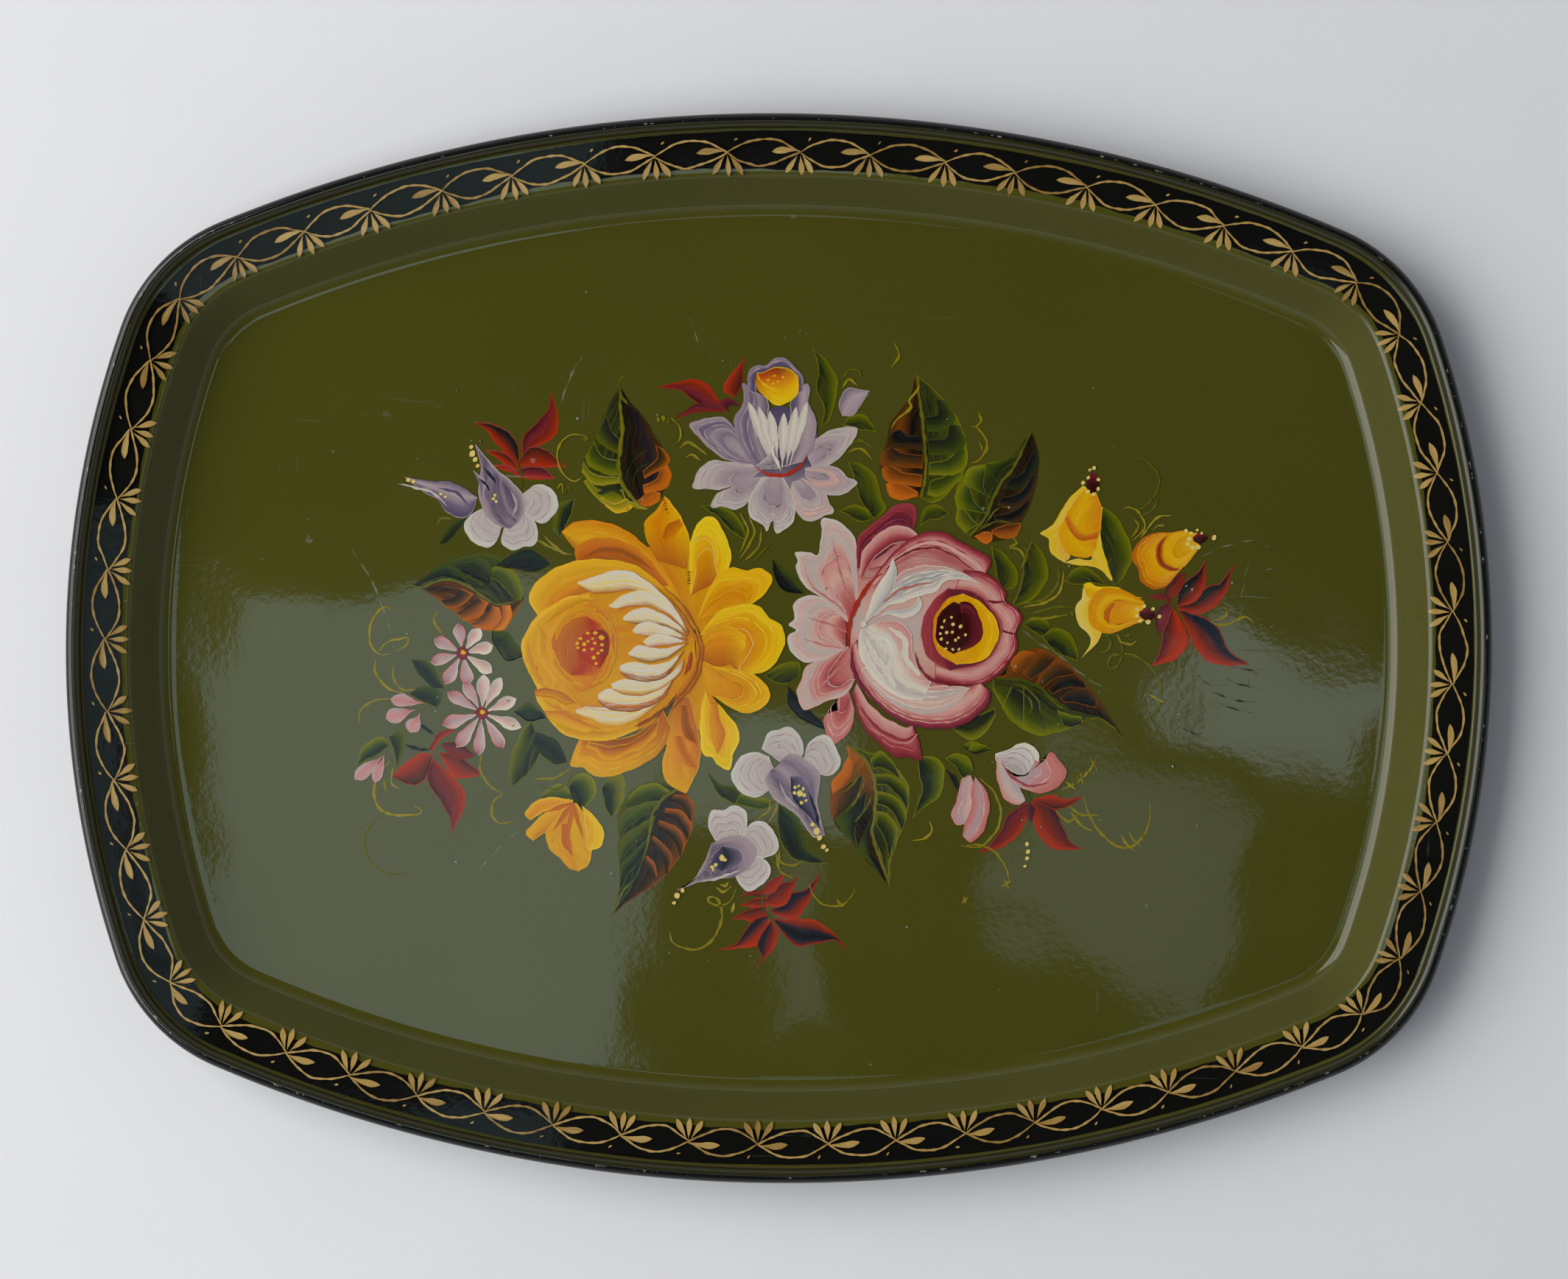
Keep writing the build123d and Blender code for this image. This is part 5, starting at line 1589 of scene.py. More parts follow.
def paint_bells(p):
    # upper left: three white petals, a violet bell and a second, thinner bell
    pale_petal(p, [(-84, 50), (-80, 52.7), (-76.5, 52.5), (-73, 49), (-73, 44.5), (-77, 40.3),
                   (-82, 41.7), (-85, 44)], (-86, 47))
    pale_petal(p, [(-90.5, 38), (-91, 33.5), (-87.5, 31.3), (-84, 32.3), (-80.5, 33), (-79, 36.5),
                   (-80.5, 41), (-84, 44.5)], (-87, 43))
    pale_petal(p, [(-96, 45.5), (-101.5, 42.5), (-103.3, 38.5), (-101, 34.5), (-96, 32), (-92.5, 34.5),
                   (-91, 39)], (-91, 43))
    p.patch([(-123, 55), (-115, 53.8), (-108, 53.5), (-104, 51.8), (-99, 48.5)],
            [(-123, 55), (-117, 50.3), (-112, 47.5), (-109, 43.5), (-105, 41.7), (-101, 43), (-99, 48.5)],
            "violet mauve violet indigo", edge="mauve")
    p.line([(-125, 52.8), (-118, 51.2), (-113, 49.5), (-109, 45.5)], 0.8, "pearl", streak="milk")
    p.line([(-112, 51.5), (-106, 50), (-102, 46)], 0.9, "indigo")
    p.patch([(-100, 66), (-98, 58), (-98.8, 52), (-97.7, 45.5), (-94, 40.2), (-88.5, 38.2)],
            [(-100, 66), (-93, 58), (-86, 52), (-83.3, 46.5), (-84.8, 41), (-88.5, 38.2)],
            "mauve indigo violet indigo mauve", edge="pearl", streak="mauve")
    p.patch([(-100.5, 57.5), (-98.6, 53), (-97.3, 47.5)], [(-100.5, 57.5), (-96.5, 53.5), (-97.3, 47.5)],
            "violet mauve", edge="mauve")
    p.line([(-98.7, 54.5), (-96.5, 53), (-95, 50.5)], 0.9, "night")
    p.line([(-97.3, 58.5), (-95, 56), (-93, 53.2)], 0.9, "night")
    p.line([(-88, 50.5), (-86.3, 46.5), (-87.7, 42)], 0.9, "mauve", streak="pearl")
    # below the roses: two more, hanging down to the right and to the left
    pale_petal(p, [(-5.5, -33), (-3.5, -28), (0, -26.6), (3.5, -25.8), (7, -28.5), (8.3, -34), (6, -37)],
               (2, -38))
    pale_petal(p, [(8, -37), (10, -31), (13.5, -28.5), (17, -29), (19, -33), (20.6, -37), (17.5, -41.5),
                   (12.5, -41)], (8, -40))
    pale_petal(p, [(-3, -35.5), (-8, -34), (-12.5, -36), (-15.3, -41.5), (-13, -46.5), (-7.5, -49),
                   (-2, -46)], (-1, -41))
    p.patch([(0, -38), (4, -34.4), (9, -36.5), (13.8, -41.5), (13, -50), (15.5, -61)],
            [(0, -38), (-4.3, -43), (-1, -49.5), (5, -53.5), (8.5, -57.5), (11.7, -61.8), (15.5, -61)],
            "mauve violet lilac indigo mauve", edge="pearl", streak="mauve")
    p.patch([(4, -42), (8, -42.5), (11, -48), (13, -58)], [(4, -42), (5, -49), (8.5, -53), (13, -58)],
            "violet indigo night")
    p.line([(10, -47), (12.3, -53), (13.7, -59.5)], 1.0, "night")
    p.line([(0.5, -44), (3, -49), (7.5, -53)], 0.9, "mauve", streak="pearl")
    pale_petal(p, [(-20.5, -63), (-22.8, -58), (-21.5, -53.3), (-17.5, -53), (-14, -51.5), (-10.5, -53.5),
                   (-10, -59), (-12, -62.5)], (-16, -65))
    pale_petal(p, [(-11.5, -61), (-8.5, -57.3), (-4.5, -56.7), (-1.7, -59.5), (0.4, -63.5), (-0.8, -67.3),
                   (-5.5, -69)], (-11, -66))
    pale_petal(p, [(-6, -68), (-3, -70.3), (-2.2, -74), (-6, -78.2), (-9.5, -79.6), (-13, -76.5),
                   (-14, -72)], (-11.5, -69))
    p.patch([(-21.5, -64), (-15, -61.3), (-9, -62.7), (-6.7, -67), (-9, -72), (-14, -75)],
            [(-21.5, -64), (-23, -68), (-26, -74), (-30, -78.3), (-32.5, -79.3), (-24, -76.5),
             (-14, -75)],
            "mauve violet indigo mauve", edge="pearl", streak="mauve")
    p.patch([(-18, -65), (-13, -66), (-12, -70), (-18, -73)],
            [(-18, -65), (-20.5, -68), (-21.5, -71), (-18, -73)], "violet night indigo")
    p.line([(-12, -72.5), (-18, -75), (-25, -76.7)], 0.8, "pearl", streak="milk")
    # throat dots and stamens
    for x, y, size in (
        (-93.3, 49.2, 1), (-93.8, 48, 1), (-92.9, 47.2, 0.9), (-101.2, 65, 1.3), (-100.9, 62.8, 2),
        (-99.9, 60.9, 1.6),
        (-99, 58.8, 1.3), (-121.7, 54, 1.2), (-120, 53.5, 1.2), (-111, 49.4, 1.1), (-109.5, 48.6, 1),
        (5.6, -45.5, 1),
        (8.2, -46, 1.2), (7.1, -47.5, 1.9), (8.6, -48, 1.2), (5.4, -47.3, 1), (9.2, -49.8, 1.1),
        (7.7, -50.5, 1),
        (6.8, -45.1, 0.9), (12.9, -59.8, 2.2), (11.4, -57.7, 1.4), (13.8, -62, 1.7), (15, -64.8, 1.6),
        (16.1, -65.9, 1.2),
        (-18.2, -68.7, 1.9), (-17.1, -69.5, 1.2), (-20.2, -71, 1.2), (-21.3, -71.8, 1.1), (-21, -72.7, 1),
        (-31, -79.4, 1.5), (-32.7, -81.2, 1.7), (-33.7, -83.5, 1.2), (81.5, -63.5, 1.3),
        (81.9, -65.9, 1.4),
        (81.7, -68.2, 1.3), (81, -70.7, 1.1),
    ):
        p.dot(x, y, size * 1.2, size, "butter", turn=random.uniform(0, 90), streak="cream")


def paint_daisies_and_buds(p):
    for centre, tips in (
        ((-97, -22), ((-96.5, -9.3), (-90.7, -10.3), (-85.7, -17.3), (-84, -26.7), (-89.8, -33.5),
                      (-98, -36), (-105.3, -33.4), (-110, -26), (-108.4, -15.3), (-103, -11.6))),
        ((-103.5, -2.5), ((-105, 7.3), (-97.7, 5.7), (-93.5, 0), (-93.7, -8.7), (-101.5, -12.8),
                          (-109.2, -12.7), (-114, -5.5), (-112.8, 2.2))),
    ):
        for tip in tips:
            rosy = tip[0] < centre[0] or tip[1] < centre[1] - 8
            tones = "rose mauve blush" if rosy else "milk blush mauve"
            p.leaf(centre, tip, random.uniform(3.9, 4.6), tones, fullest=0.72, edge="chalk",
                   finish="cerise" if rosy else "milk", reach=0.35)
        p.dot(*centre, 4.6, 4.4, "wine", streak="cerise")
        p.dot(centre[0] + 0.2, centre[1] + 0.2, 1.9, 1.7, "gold", streak="lemon")
    for foot, tip, width in (
        ((-115.5, -19), (-127, -17.7), 4.3), ((-118.5, -21), (-128.5, -24), 5.2),
        ((-117, -22), (-120.7, -28.5), 5),
        ((-129, -36), (-138.5, -44), 4.6), ((-128.6, -35.5), (-132, -45), 3.7),
    ):
        p.leaf(foot, tip, width, "mauve rose mauve", fullest=0.7, edge="blush", start="cerise", reach=0.5)
    p.line([(-117, -26), (-113, -29)], 1.0, "soot")
    p.line([(-122, -32.5), (-118, -34), (-114, -34)], 1.0, "soot")
    # the small yellow flower at lower left
    p.patch([(-68, -50), (-75, -49.3), (-79.5, -51), (-82.7, -54.5), (-81, -57)],
            [(-68, -52), (-73, -53.5), (-77, -54.5), (-81, -57)], "gold orange amber", edge="lemon")
    p.patch([(-67, -50), (-73, -52), (-79, -57), (-82.3, -61), (-80, -63.7)],
            [(-67, -54), (-71, -57), (-74, -59.5), (-80, -63.7)], "honey amber copper", edge="gold")
    p.patch([(-66, -51), (-70.5, -54), (-75.5, -60), (-75, -65.5), (-71, -69.5), (-68, -72.5),
             (-65, -73.6)],
            [(-66, -51), (-62.5, -56), (-61.5, -62), (-60.6, -67), (-62, -71.5), (-65, -73.6)],
            "amber orange honey amber", edge="gold", streak="gold")
    p.patch([(-64, -52), (-59, -56.5), (-56.7, -61.5), (-58, -65.5), (-62, -66.8)],
            [(-64, -52), (-63, -58), (-62.5, -63), (-62, -66.8)], "lemon gold amber", edge="butter")
    p.patch([(-70.5, -58), (-70.5, -64), (-67, -69)], [(-68.5, -58), (-67.5, -63), (-67, -69)],
            "copper ember")
    for tip, width in (((-76.5, -54.5), 1.4), ((-73.5, -60.5), 1.6), ((-69, -65), 1.6),
                       ((-63.5, -63), 1.4)):
        p.leaf((-67, -51), tip, width, "copper ember", fullest=0.4)
    # two pink buds at lower right
    petal(p, [(63, -41), (60, -42.5), (58.6, -49), (56.8, -53.5), (58.5, -57.5), (62.5, -56.5)],
          [(63, -41), (64.5, -46), (65.2, -50), (64.5, -53.5), (62.5, -56.5)], "rose mauve blush mauve",
          edge="blush", ridges=(0.3, 0.6), ridge_tone="blush")
    petal(p, [(64.5, -41.5), (68, -46), (69.3, -51), (67.5, -59), (63.5, -63), (60.5, -61)],
          [(64.5, -41.5), (63, -47), (63.5, -51), (61.5, -56), (60.5, -61)],
          "salmon rose mauve rose salmon", edge="rose", ridges=(0.3,), ridge_tone="blush")
    p.patch([(54.5, -35.7), (58, -34), (62, -35), (64, -39.5)],
            [(54.5, -35.7), (58, -38.5), (60.5, -42), (64, -39.5)], "lime leaf soot", edge="lime")
    p.line([(55, -39.5), (57.5, -42.5), (59, -46.5)], 1.3, "soot")
    petal(p, [(71, -34), (75, -32.7), (78.5, -30.8), (82, -30.6), (85.2, -34), (84.8, -38.5),
              (81, -41.5)],
          [(71, -36), (74, -38.5), (77, -40), (79, -41), (81, -41.5)], "milk chalk pearl mauve",
          edge="milk", ridges=(0.2, 0.4, 0.6, 0.8), ridge_tone="mauve")
    petal(p, [(84, -36), (86.5, -36.5), (89, -33.4), (91.7, -35.5), (94.4, -40.5), (91, -45),
              (85.5, -46.8), (79, -45)],
          [(83, -38), (82.5, -39.5), (81, -41), (78, -41.5), (75, -40), (75, -42), (79, -45)],
          "salmon rose mauve rose", ridges=(0.3, 0.5), ridge_tone="blush", edge="blush",
          heart="rose salmon")
    petal(p, [(71.3, -35), (71.6, -42), (74, -48.5), (78, -50.7), (81, -49.3)],
          [(73, -36), (76, -41), (79, -45), (81, -49.3)], "rose blush pearl mauve", edge="blush",
          ridges=(0.3, 0.6), ridge_tone="pearl")
    p.line([(73, -37), (77, -42), (83, -44.5), (89, -43)], 0.8, "cerise", streak="rose")
    p.patch([(62, -33), (64, -30.5), (69, -31.5)], [(62, -33), (65, -33.3), (69, -31.5)], "lime leaf")


def paint_yellow_buds(p):
    # pale skirts first, then the orange bodies that narrow to a dark throat
    p.patch([(99, 54), (94, 49), (90.5, 43), (88, 40), (85, 38), (88, 36.3), (88.5, 32), (93, 28.7)],
            [(103, 51), (100, 46), (98, 41), (96, 37), (94, 34), (94, 32), (95, 30.5), (93, 28.7)],
            "lemon gold amber", edge="butter", streak="butter")
    p.patch([(105.5, 47), (104.8, 38), (106.3, 31), (108.7, 23), (104, 27), (98.5, 27.7), (93, 28.7)],
            [(101, 46), (100, 38), (101, 33), (102, 30), (100, 29.5), (97, 30), (93, 28.7)],
            "lemon lemon gold", edge="butter", streak="butter")
    petal(p, [(100.5, 53.5), (96, 48.5), (93, 43), (91.2, 38), (92.5, 33.5), (96, 30.8), (101, 30.5),
              (103.5, 33)],
          [(103.5, 51.5), (105.3, 46), (105, 41), (104.5, 38), (104, 36), (103.8, 35), (103.6, 34),
           (103.5, 33)],
          "amber gold amber orange", ridges=(0.15, 0.3, 0.45), ridge_tone="honey", edge="gold")
    p.patch([(93.3, 43), (95, 38.7), (99, 35.8), (104, 37)],
            [(94.5, 44.5), (97, 40.5), (100.5, 38.5), (104.5, 40)], "copper ember honey")
    p.patch([(99.3, 20.5), (98.8, 17), (97, 14.5), (97.6, 9), (101, 5.5), (101.8, 2), (99, -2.5)],
            [(103, 21.5), (102.5, 17), (102, 12), (104, 8), (105.5, 5.5), (103.5, 2), (99, -2.5)],
            "butter lemon gold", edge="butter", streak="butter")
    p.patch([(99.3, 21.5), (101.5, 22.3), (104.5, 20.8), (110, 20.9), (115, 18.2), (119, 17.3)],
            [(100.5, 18), (103, 17), (107, 18), (111, 18.5), (115, 17), (119, 17.3)], "lemon gold amber",
            edge="gold")
    petal(p, [(119.5, 16), (114.5, 19), (109, 20.6), (104, 19.5), (101.3, 15), (101.3, 9.5), (105, 6),
              (110, 6), (115, 8.2), (120, 10)],
          [(119, 15), (115, 16), (111, 16.5), (108, 15.5), (106.5, 13), (106.8, 10.5), (109, 8.8),
           (112, 8.8), (116, 10), (119, 11)],
          "amber orange gold amber", ridges=(0.3, 0.6), ridge_tone="honey", edge="honey",
          heart="orange amber gold")
    p.patch([(108.5, 15.5), (106.5, 13), (106.3, 10.5), (108, 8.5)],
            [(110, 15.5), (108.3, 13), (108, 11), (108, 8.5)], "ember copper")
    petal(p, [(133, 39.5), (128, 38.9), (122, 38.5), (118, 36.2), (115.6, 33), (115.4, 29.5),
              (117.3, 26.5), (118.3, 22.5), (122, 20.3), (126, 20.8), (129, 24), (131.5, 26.8)],
          [(133, 38.5), (129, 37.5), (126, 35.5), (124, 33), (123.5, 31), (124, 29), (125, 27.5),
           (126.5, 26.5), (128, 26.2), (129.3, 26.5), (130.5, 27), (132, 28)],
          "copper orange amber gold", ridges=(0.2, 0.4, 0.6, 0.8), ridge_tone="honey", edge="honey",
          heart="amber honey")
    p.patch([(127, 38.3), (123.6, 35), (122.8, 31), (124.5, 27.7), (128, 26), (131, 26.8)],
            [(127, 38.3), (125.2, 34.5), (125, 31.2), (126.2, 28.8), (128.5, 27.5), (131, 26.8)],
            "ember brick copper")
    petal(p, [(136.5, 38.7), (131, 39.3), (127, 37.8), (125.2, 34), (125.3, 30.5), (128, 27.6),
              (131.5, 27.3), (134.5, 30), (137.5, 34.5)],
          [(136.5, 38), (132, 37.5), (129.5, 35.5), (128.5, 33.5), (128.5, 32), (129.5, 30.5),
           (131, 30.3), (133, 31.5), (137, 35)],
          "amber honey gold", ridges=(0.3, 0.6), ridge_tone="gold", edge="gold", heart="amber honey gold")
    for first, second in (
        ([(100.5, 56.3), (102, 58.3), (104.3, 56.3)], [(100.2, 53), (102, 51.2), (104, 53)]),
        ([(117.7, 12.7), (120.3, 14), (122.5, 12.7)], [(117.7, 11.5), (120.3, 9.8), (122.7, 11)]),
        ([(135, 37.2), (137.5, 39), (140, 37.3)], [(135.3, 36), (137.6, 35), (140, 37.3)]),
    ):
        p.patch(first, second, "wine maroon maroon", edge="maroon")
    for x, y, size in (
        (100.7, 56.5, 1.5), (99, 54.8, 1.6), (100.5, 52, 1.7), (102.5, 51, 1.5), (104, 52.8, 1.5),
        (104, 55.8, 1.4),
        (102.5, 59.7, 1.6), (117, 11.5, 1.8), (118, 9.8, 1.6), (120.6, 9.6, 1.9), (119.3, 14.6, 1.7),
        (122.2, 13.7, 1.4),
        (124.3, 11.3, 1.5), (117.2, 13.5, 1.4), (133.8, 36.8, 1.8), (133.4, 35, 1.7), (135, 33.8, 1.8),
        (136.8, 34, 2),
        (134.5, 38.6, 1.6), (136.5, 39.5, 1.1), (138, 38.6, 1.1), (142, 37.2, 2), (101.2, 59, 1.1),
        (132.8, 39.3, 1.4),
    ):
        p.dot(x, y, size, size * 0.85, "butter", turn=random.uniform(0, 90), streak="cream")


TENDRILS = (
    # width, then the line
    (0.8, [(100, -48), (102.5, -55), (107, -61), (113, -64.5), (118.5, -62), (121.5, -56), (121.8, -50)]),
    (0.6, [(112.5, -60.5), (114, -63), (117, -65.5)]),
    (0.6, [(115, -59.5), (116.5, -62), (119, -64)]),
    (0.6, [(117.5, -57.5), (119, -60), (121, -61.5)]),
    (0.7, [(93, -45.5), (98, -43), (102, -39), (104, -35.5)]),
    (0.5, [(96, -40.5), (97.5, -45.5)]),
    (0.5, [(98.3, -39), (100, -44)]),
    (0.5, [(100.5, -37.3), (102.5, -42)]),
    (0.5, [(102.3, -35.5), (104.5, -39.5)]),
    (0.7, [(96, -53), (99, -57), (103, -59)]),
    (0.7, [(94.5, -50.5), (99, -53.5), (105, -54)]),
    (0.7, [(-132, -5), (-132, -9), (-128, -14), (-122, -16)]),
    (0.7, [(-126, -6), (-126, -11), (-123, -14.5), (-118, -14.5)]),
    (0.7, [(-137, -25.5), (-137, -22), (-133, -18.5), (-127, -17.5)]),
    (0.8, [(-127, -38), (-131, -43), (-132, -50), (-128, -55), (-119, -55.5), (-116.5, -54),
           (-119, -52.5)]),
    (0.7, [(-128, -54), (-134, -60), (-135, -67), (-131, -73), (-124, -75), (-120, -74)]),
    (0.6, [(-126, -40), (-126.5, -45), (-124, -47)]),
    (0.6, [(-129, -44), (-128, -49)]),
    (0.8, [(-97, -35), (-97.5, -40), (-95, -45), (-90, -48.5)]),
    (0.8, [(-90, -48.5), (-93, -51), (-93.5, -55), (-91, -58), (-87, -57.5)]),
    (0.7, [(-127, 11.5), (-129, 12.5), (-132, 10), (-134, 5), (-133.5, 0), (-131, -3), (-127.5, -3)]),
    (0.6, [(-131, -2), (-128, 1), (-124, 2), (-121.5, 2.5), (-122, 0), (-125, -2)]),
    (0.8, [(-112, 11), (-113, 8), (-110, 3.5)]),
    (0.8, [(-80, 35), (-72, 31), (-68, 30)]),
    (0.7, [(-77, 36), (-74, 33), (-71, 31)]),
    (0.8, [(-68, -40), (-73, -43), (-80, -43.5)]),
    (0.9, [(-66, -41), (-72, -46.5), (-78, -45.5)]),
    (1.0, [(-112.3, 39), (-111, 41.3), (-107, 41.5)]),
    (0.8, [(-35, -93), (-34, -96.5), (-29, -98.7), (-24, -98), (-20, -94), (-18, -88), (-19, -83),
           (-21, -81.5), (-22.6, -82.3), (-21, -84), (-18, -84.3), (-15, -82.5), (-13.3, -78.8)]),
    (0.7, [(-20, -78.4), (-17.5, -79.9), (-15, -78)]),
    (0.9, [(-18.8, -77.4), (-17, -77.9), (-16, -76.6)]),
    (0.9, [(-14, -83.5), (-14.8, -86.7)]),
    (0.6, [(10.5, -77), (12, -81), (16, -84), (21, -84), (24, -81.5), (25.5, -79)]),
    (0.9, [(19.5, -82), (21, -84), (22.3, -83)]),
    (1.3, [(25, -79.3), (25.8, -78.6)]),
    (0.7, [(-2.5, -49.5), (-3, -53), (-6.5, -56)]),
    (0.7, [(0, -50), (-1, -54), (-3, -57)]),
    (0.7, [(0.5, -66), (1, -70), (5, -71), (8, -70)]),
    (0.7, [(-0.5, -67), (1, -73), (5, -75)]),
    (0.8, [(66, -42), (71, -47), (73, -54), (71, -60), (66, -64.5), (60, -64)]),
    (0.7, [(62, -64), (67, -64), (72, -67), (75, -72), (76, -76)]),
    (0.7, [(90, -46.5), (94, -46.5), (97, -44), (99, -38)]),
    (0.6, [(94, -43), (97.5, -45.5)]),
    (0.6, [(95.5, -40), (100, -42)]),
    (0.8, [(91, -52.5), (95, -56), (99, -53)]),
    (0.7, [(49.5, -56), (50.5, -59), (48, -62), (44, -62.5)]),
    (0.7, [(73.5, -77.5), (76.5, -75.5)]),
    (0.7, [(74, -75), (76, -78)]),
    (0.7, [(60.5, -83), (62.5, -81)]),
    (0.7, [(61, -80.7), (62, -83.3)]),
    (1.0, [(80, 15), (87, 17), (91, 22), (91.3, 28.5)]),
    (0.8, [(80, 14), (88, 16), (92, 20), (93, 26)]),
    (0.8, [(81, 11.5), (90, 14), (96, 14), (95.5, 12)]),
    (0.7, [(82, 10), (88, 10.5), (94.5, 11.7)]),
    (1.6, [(95.3, 12.8), (96.2, 11.3)]),
    (0.7, [(76, 37), (77.5, 35), (75, 33.5), (78, 33), (80, 30), (79, 26.5)]),
    (0.6, [(79.5, 35), (81, 31), (80, 28)]),
    (0.7, [(62, 73), (64, 73), (65.5, 75), (64.5, 78)]),
    (0.8, [(64, 73), (67, 69), (67.5, 66), (65, 62), (62.5, 61)]),
    (0.6, [(65, 68), (66, 65)]),
    (0.6, [(115, 63), (119, 62.5), (122, 60), (124, 56), (123, 52), (119, 47), (113, 46.5)]),
    (0.7, [(20, 88), (22, 91), (25, 91), (26.5, 88.5)]),
    (0.7, [(20, 85), (22, 88), (25, 86)]),
    (0.8, [(23, 67), (26, 68), (30, 66)]),
    (0.8, [(22, 64), (26, 65.5), (30, 62)]),
    (0.7, [(37, 100), (38.5, 96), (36, 92)]),
    (0.9, [(-33, 65), (-30, 67), (-24, 63)]),
    (0.7, [(-31, 62), (-29, 63), (-26, 61)]),
    (0.8, [(-13, 44), (-10.5, 38), (-13, 31)]),
    (0.8, [(-10, 43), (-8.5, 37), (-13, 29)]),
    (0.7, [(-6, 39), (-7, 33), (-12, 28)]),
    (0.6, [(-3, 34), (-9, 28)]),
    (0.8, [(142, 10.3), (144, 10.6), (146.3, 12), (146.2, 14), (145, 14.4)]),
    (0.6, [(142.5, 11), (144.5, 12.6)]),
    (0.9, [(141, 9.8), (143, 8.8), (147, 9), (151, 11), (153, 11.3), (155.5, 9.3)]),
    (0.8, [(104, -0.5), (107, 0), (108.5, 2), (107.5, 4.5), (105, 5)]),
    (0.8, [(106.5, 5.2), (110, 5), (112, 2), (112.3, -1), (111, -4.7), (109, -5.7), (107.5, -4.5),
           (108.5, -2), (110.5, -1.2), (115, -1.2), (119, -3), (123, -7), (125, -12), (124.8, -17),
           (122, -21), (118, -22.7), (115, -21)]),
    (0.8, [(110.5, 5.5), (112, 3), (115, 2), (117, 3.3)]),
    (0.8, [(113, 4.8), (115, 5.4)]),
    (0.7, [(121, -14.2), (124, -15.8), (126.3, -16.8)]),
    (0.6, [(112.5, 46.5), (114, 47), (117, 45.5), (119.3, 42), (118.5, 39), (115.5, 36)]),
    (0.7, [(116, 43), (117.2, 41), (116.5, 39), (115, 37)]),
    (0.7, [(118, 37), (121, 41), (124, 44), (128, 44.3)]),
    (0.6, [(122, 39.5), (123.5, 41), (126, 41)]),
    (0.6, [(116.5, 44.8), (119, 44.5), (122, 46.5), (124, 50)]),
    (0.6, [(-64, 69), (-68, 69.3), (-72, 66.5), (-73, 61), (-71, 56.5), (-67.5, 54), (-64, 56)]),
    (2.0, [(-64.3, 69), (-63.3, 67.2)]),
    (0.9, [(-40.3, 75.3), (-40, 73.5)]),
    (0.9, [(-38.6, 75.7), (-38.3, 73.9)]),
    (0.9, [(-37, 75), (-36.7, 73)]),
    (0.5, [(-36, 75), (-33, 72), (-33, 68), (-35, 66)]),
    (0.7, [(-73, 51.5), (-71.5, 53), (-71, 50)]),
    (0.7, [(-70.5, 50), (-69.5, 52), (-68.7, 51)]),
)


def paint_tendrils(p):
    for width, line in TENDRILS:
        p.line(line, width, random.choice(["thread", "thread", "olive", "straw"]), streak="lime",
               taper=(0.4, 0.3))


SCRATCHES = (
    # width, tone, then the line
    (0.9, "scuff", [(-140, 31), (-134, 22), (-130, 13), (-127, 4), (-126, -2)]),
    (0.7, "scuff", [(-83, -59), (-90, -65), (-100, -76)]),
    (1.1, "scuff", [(-65, 95), (-68, 90), (-70.5, 84), (-72.5, 78)]),
    (0.5, "scuff", [(138, 31), (145, 34.2), (152, 36), (157.5, 37.3)]),
    (0.8, "scuff", [(157.5, 26.5), (161, 27.3)]),
    (0.6, "scuff", [(158, 34.4), (160, 34.6)]),
    (0.5, "scuff", [(151, 9), (151.5, 20), (154, 32)]),
    (0.9, "scuff", [(78, 8), (84, 3), (92, -2), (98, -7), (104, -11), (109, -13)]),
    (0.6, "scuff", [(-118, -38), (-112, -30), (-109, -27)]),
    (0.5, "scuff", [(-30, 108), (-26, 96)]),
    (0.8, "moss", [(146, -9), (152, -11), (158, -12)]),
    (0.7, "moss", [(141, -13), (150, -16), (157, -16.5)]),
    (0.7, "moss", [(144, -17), (150, -19), (155, -20)]),
    (0.6, "moss", [(136, -7), (139, -9.5), (142, -11.5)]),
    (0.6, "moss", [(147, -4.5), (154, -6), (160, -5.5)]),
    (0.7, "soot", [(132, -25), (136, -27), (139, -26.5)]),
    (0.5, "scuff", [(128, -9.5), (135, -10.5), (143, -12.3)]),
    (0.4, "scuff", [(133, -6.5), (138, -8), (142, -9)]),
    (0.5, "scuff", [(126, -18.5), (131, -17), (137, -15.7)]),
)


def build_wear():
    """Scratches that have gone pale and small chips, on the floor of the tray."""
    chips, reach_x, reach_y = 120, 165, 112
    narrowed = 0.45  # the scratches are this share of the widths in the list
    wear = Painting("scuffs", first_lift=0.012, wobble=0.2)
    for width, tone, line in SCRATCHES:
        wear.line(line, width * narrowed, tone, streak="chip" if tone == "scuff" else tone, taper=(0.2, 0.2))
    for _ in range(chips):
        angle = random.uniform(0, 2 * math.pi)
        share = math.sqrt(random.uniform(0, 1))
        size = random.uniform(0.3, 0.75)
        wear.dot(reach_x * share * math.cos(angle), reach_y * share * math.sin(angle), size * 1.5, size,
                 random.choice(["scuff", "scuff", "chip"]), turn=random.uniform(0, 180))
    wear.build(oil_paint("scuffs"))


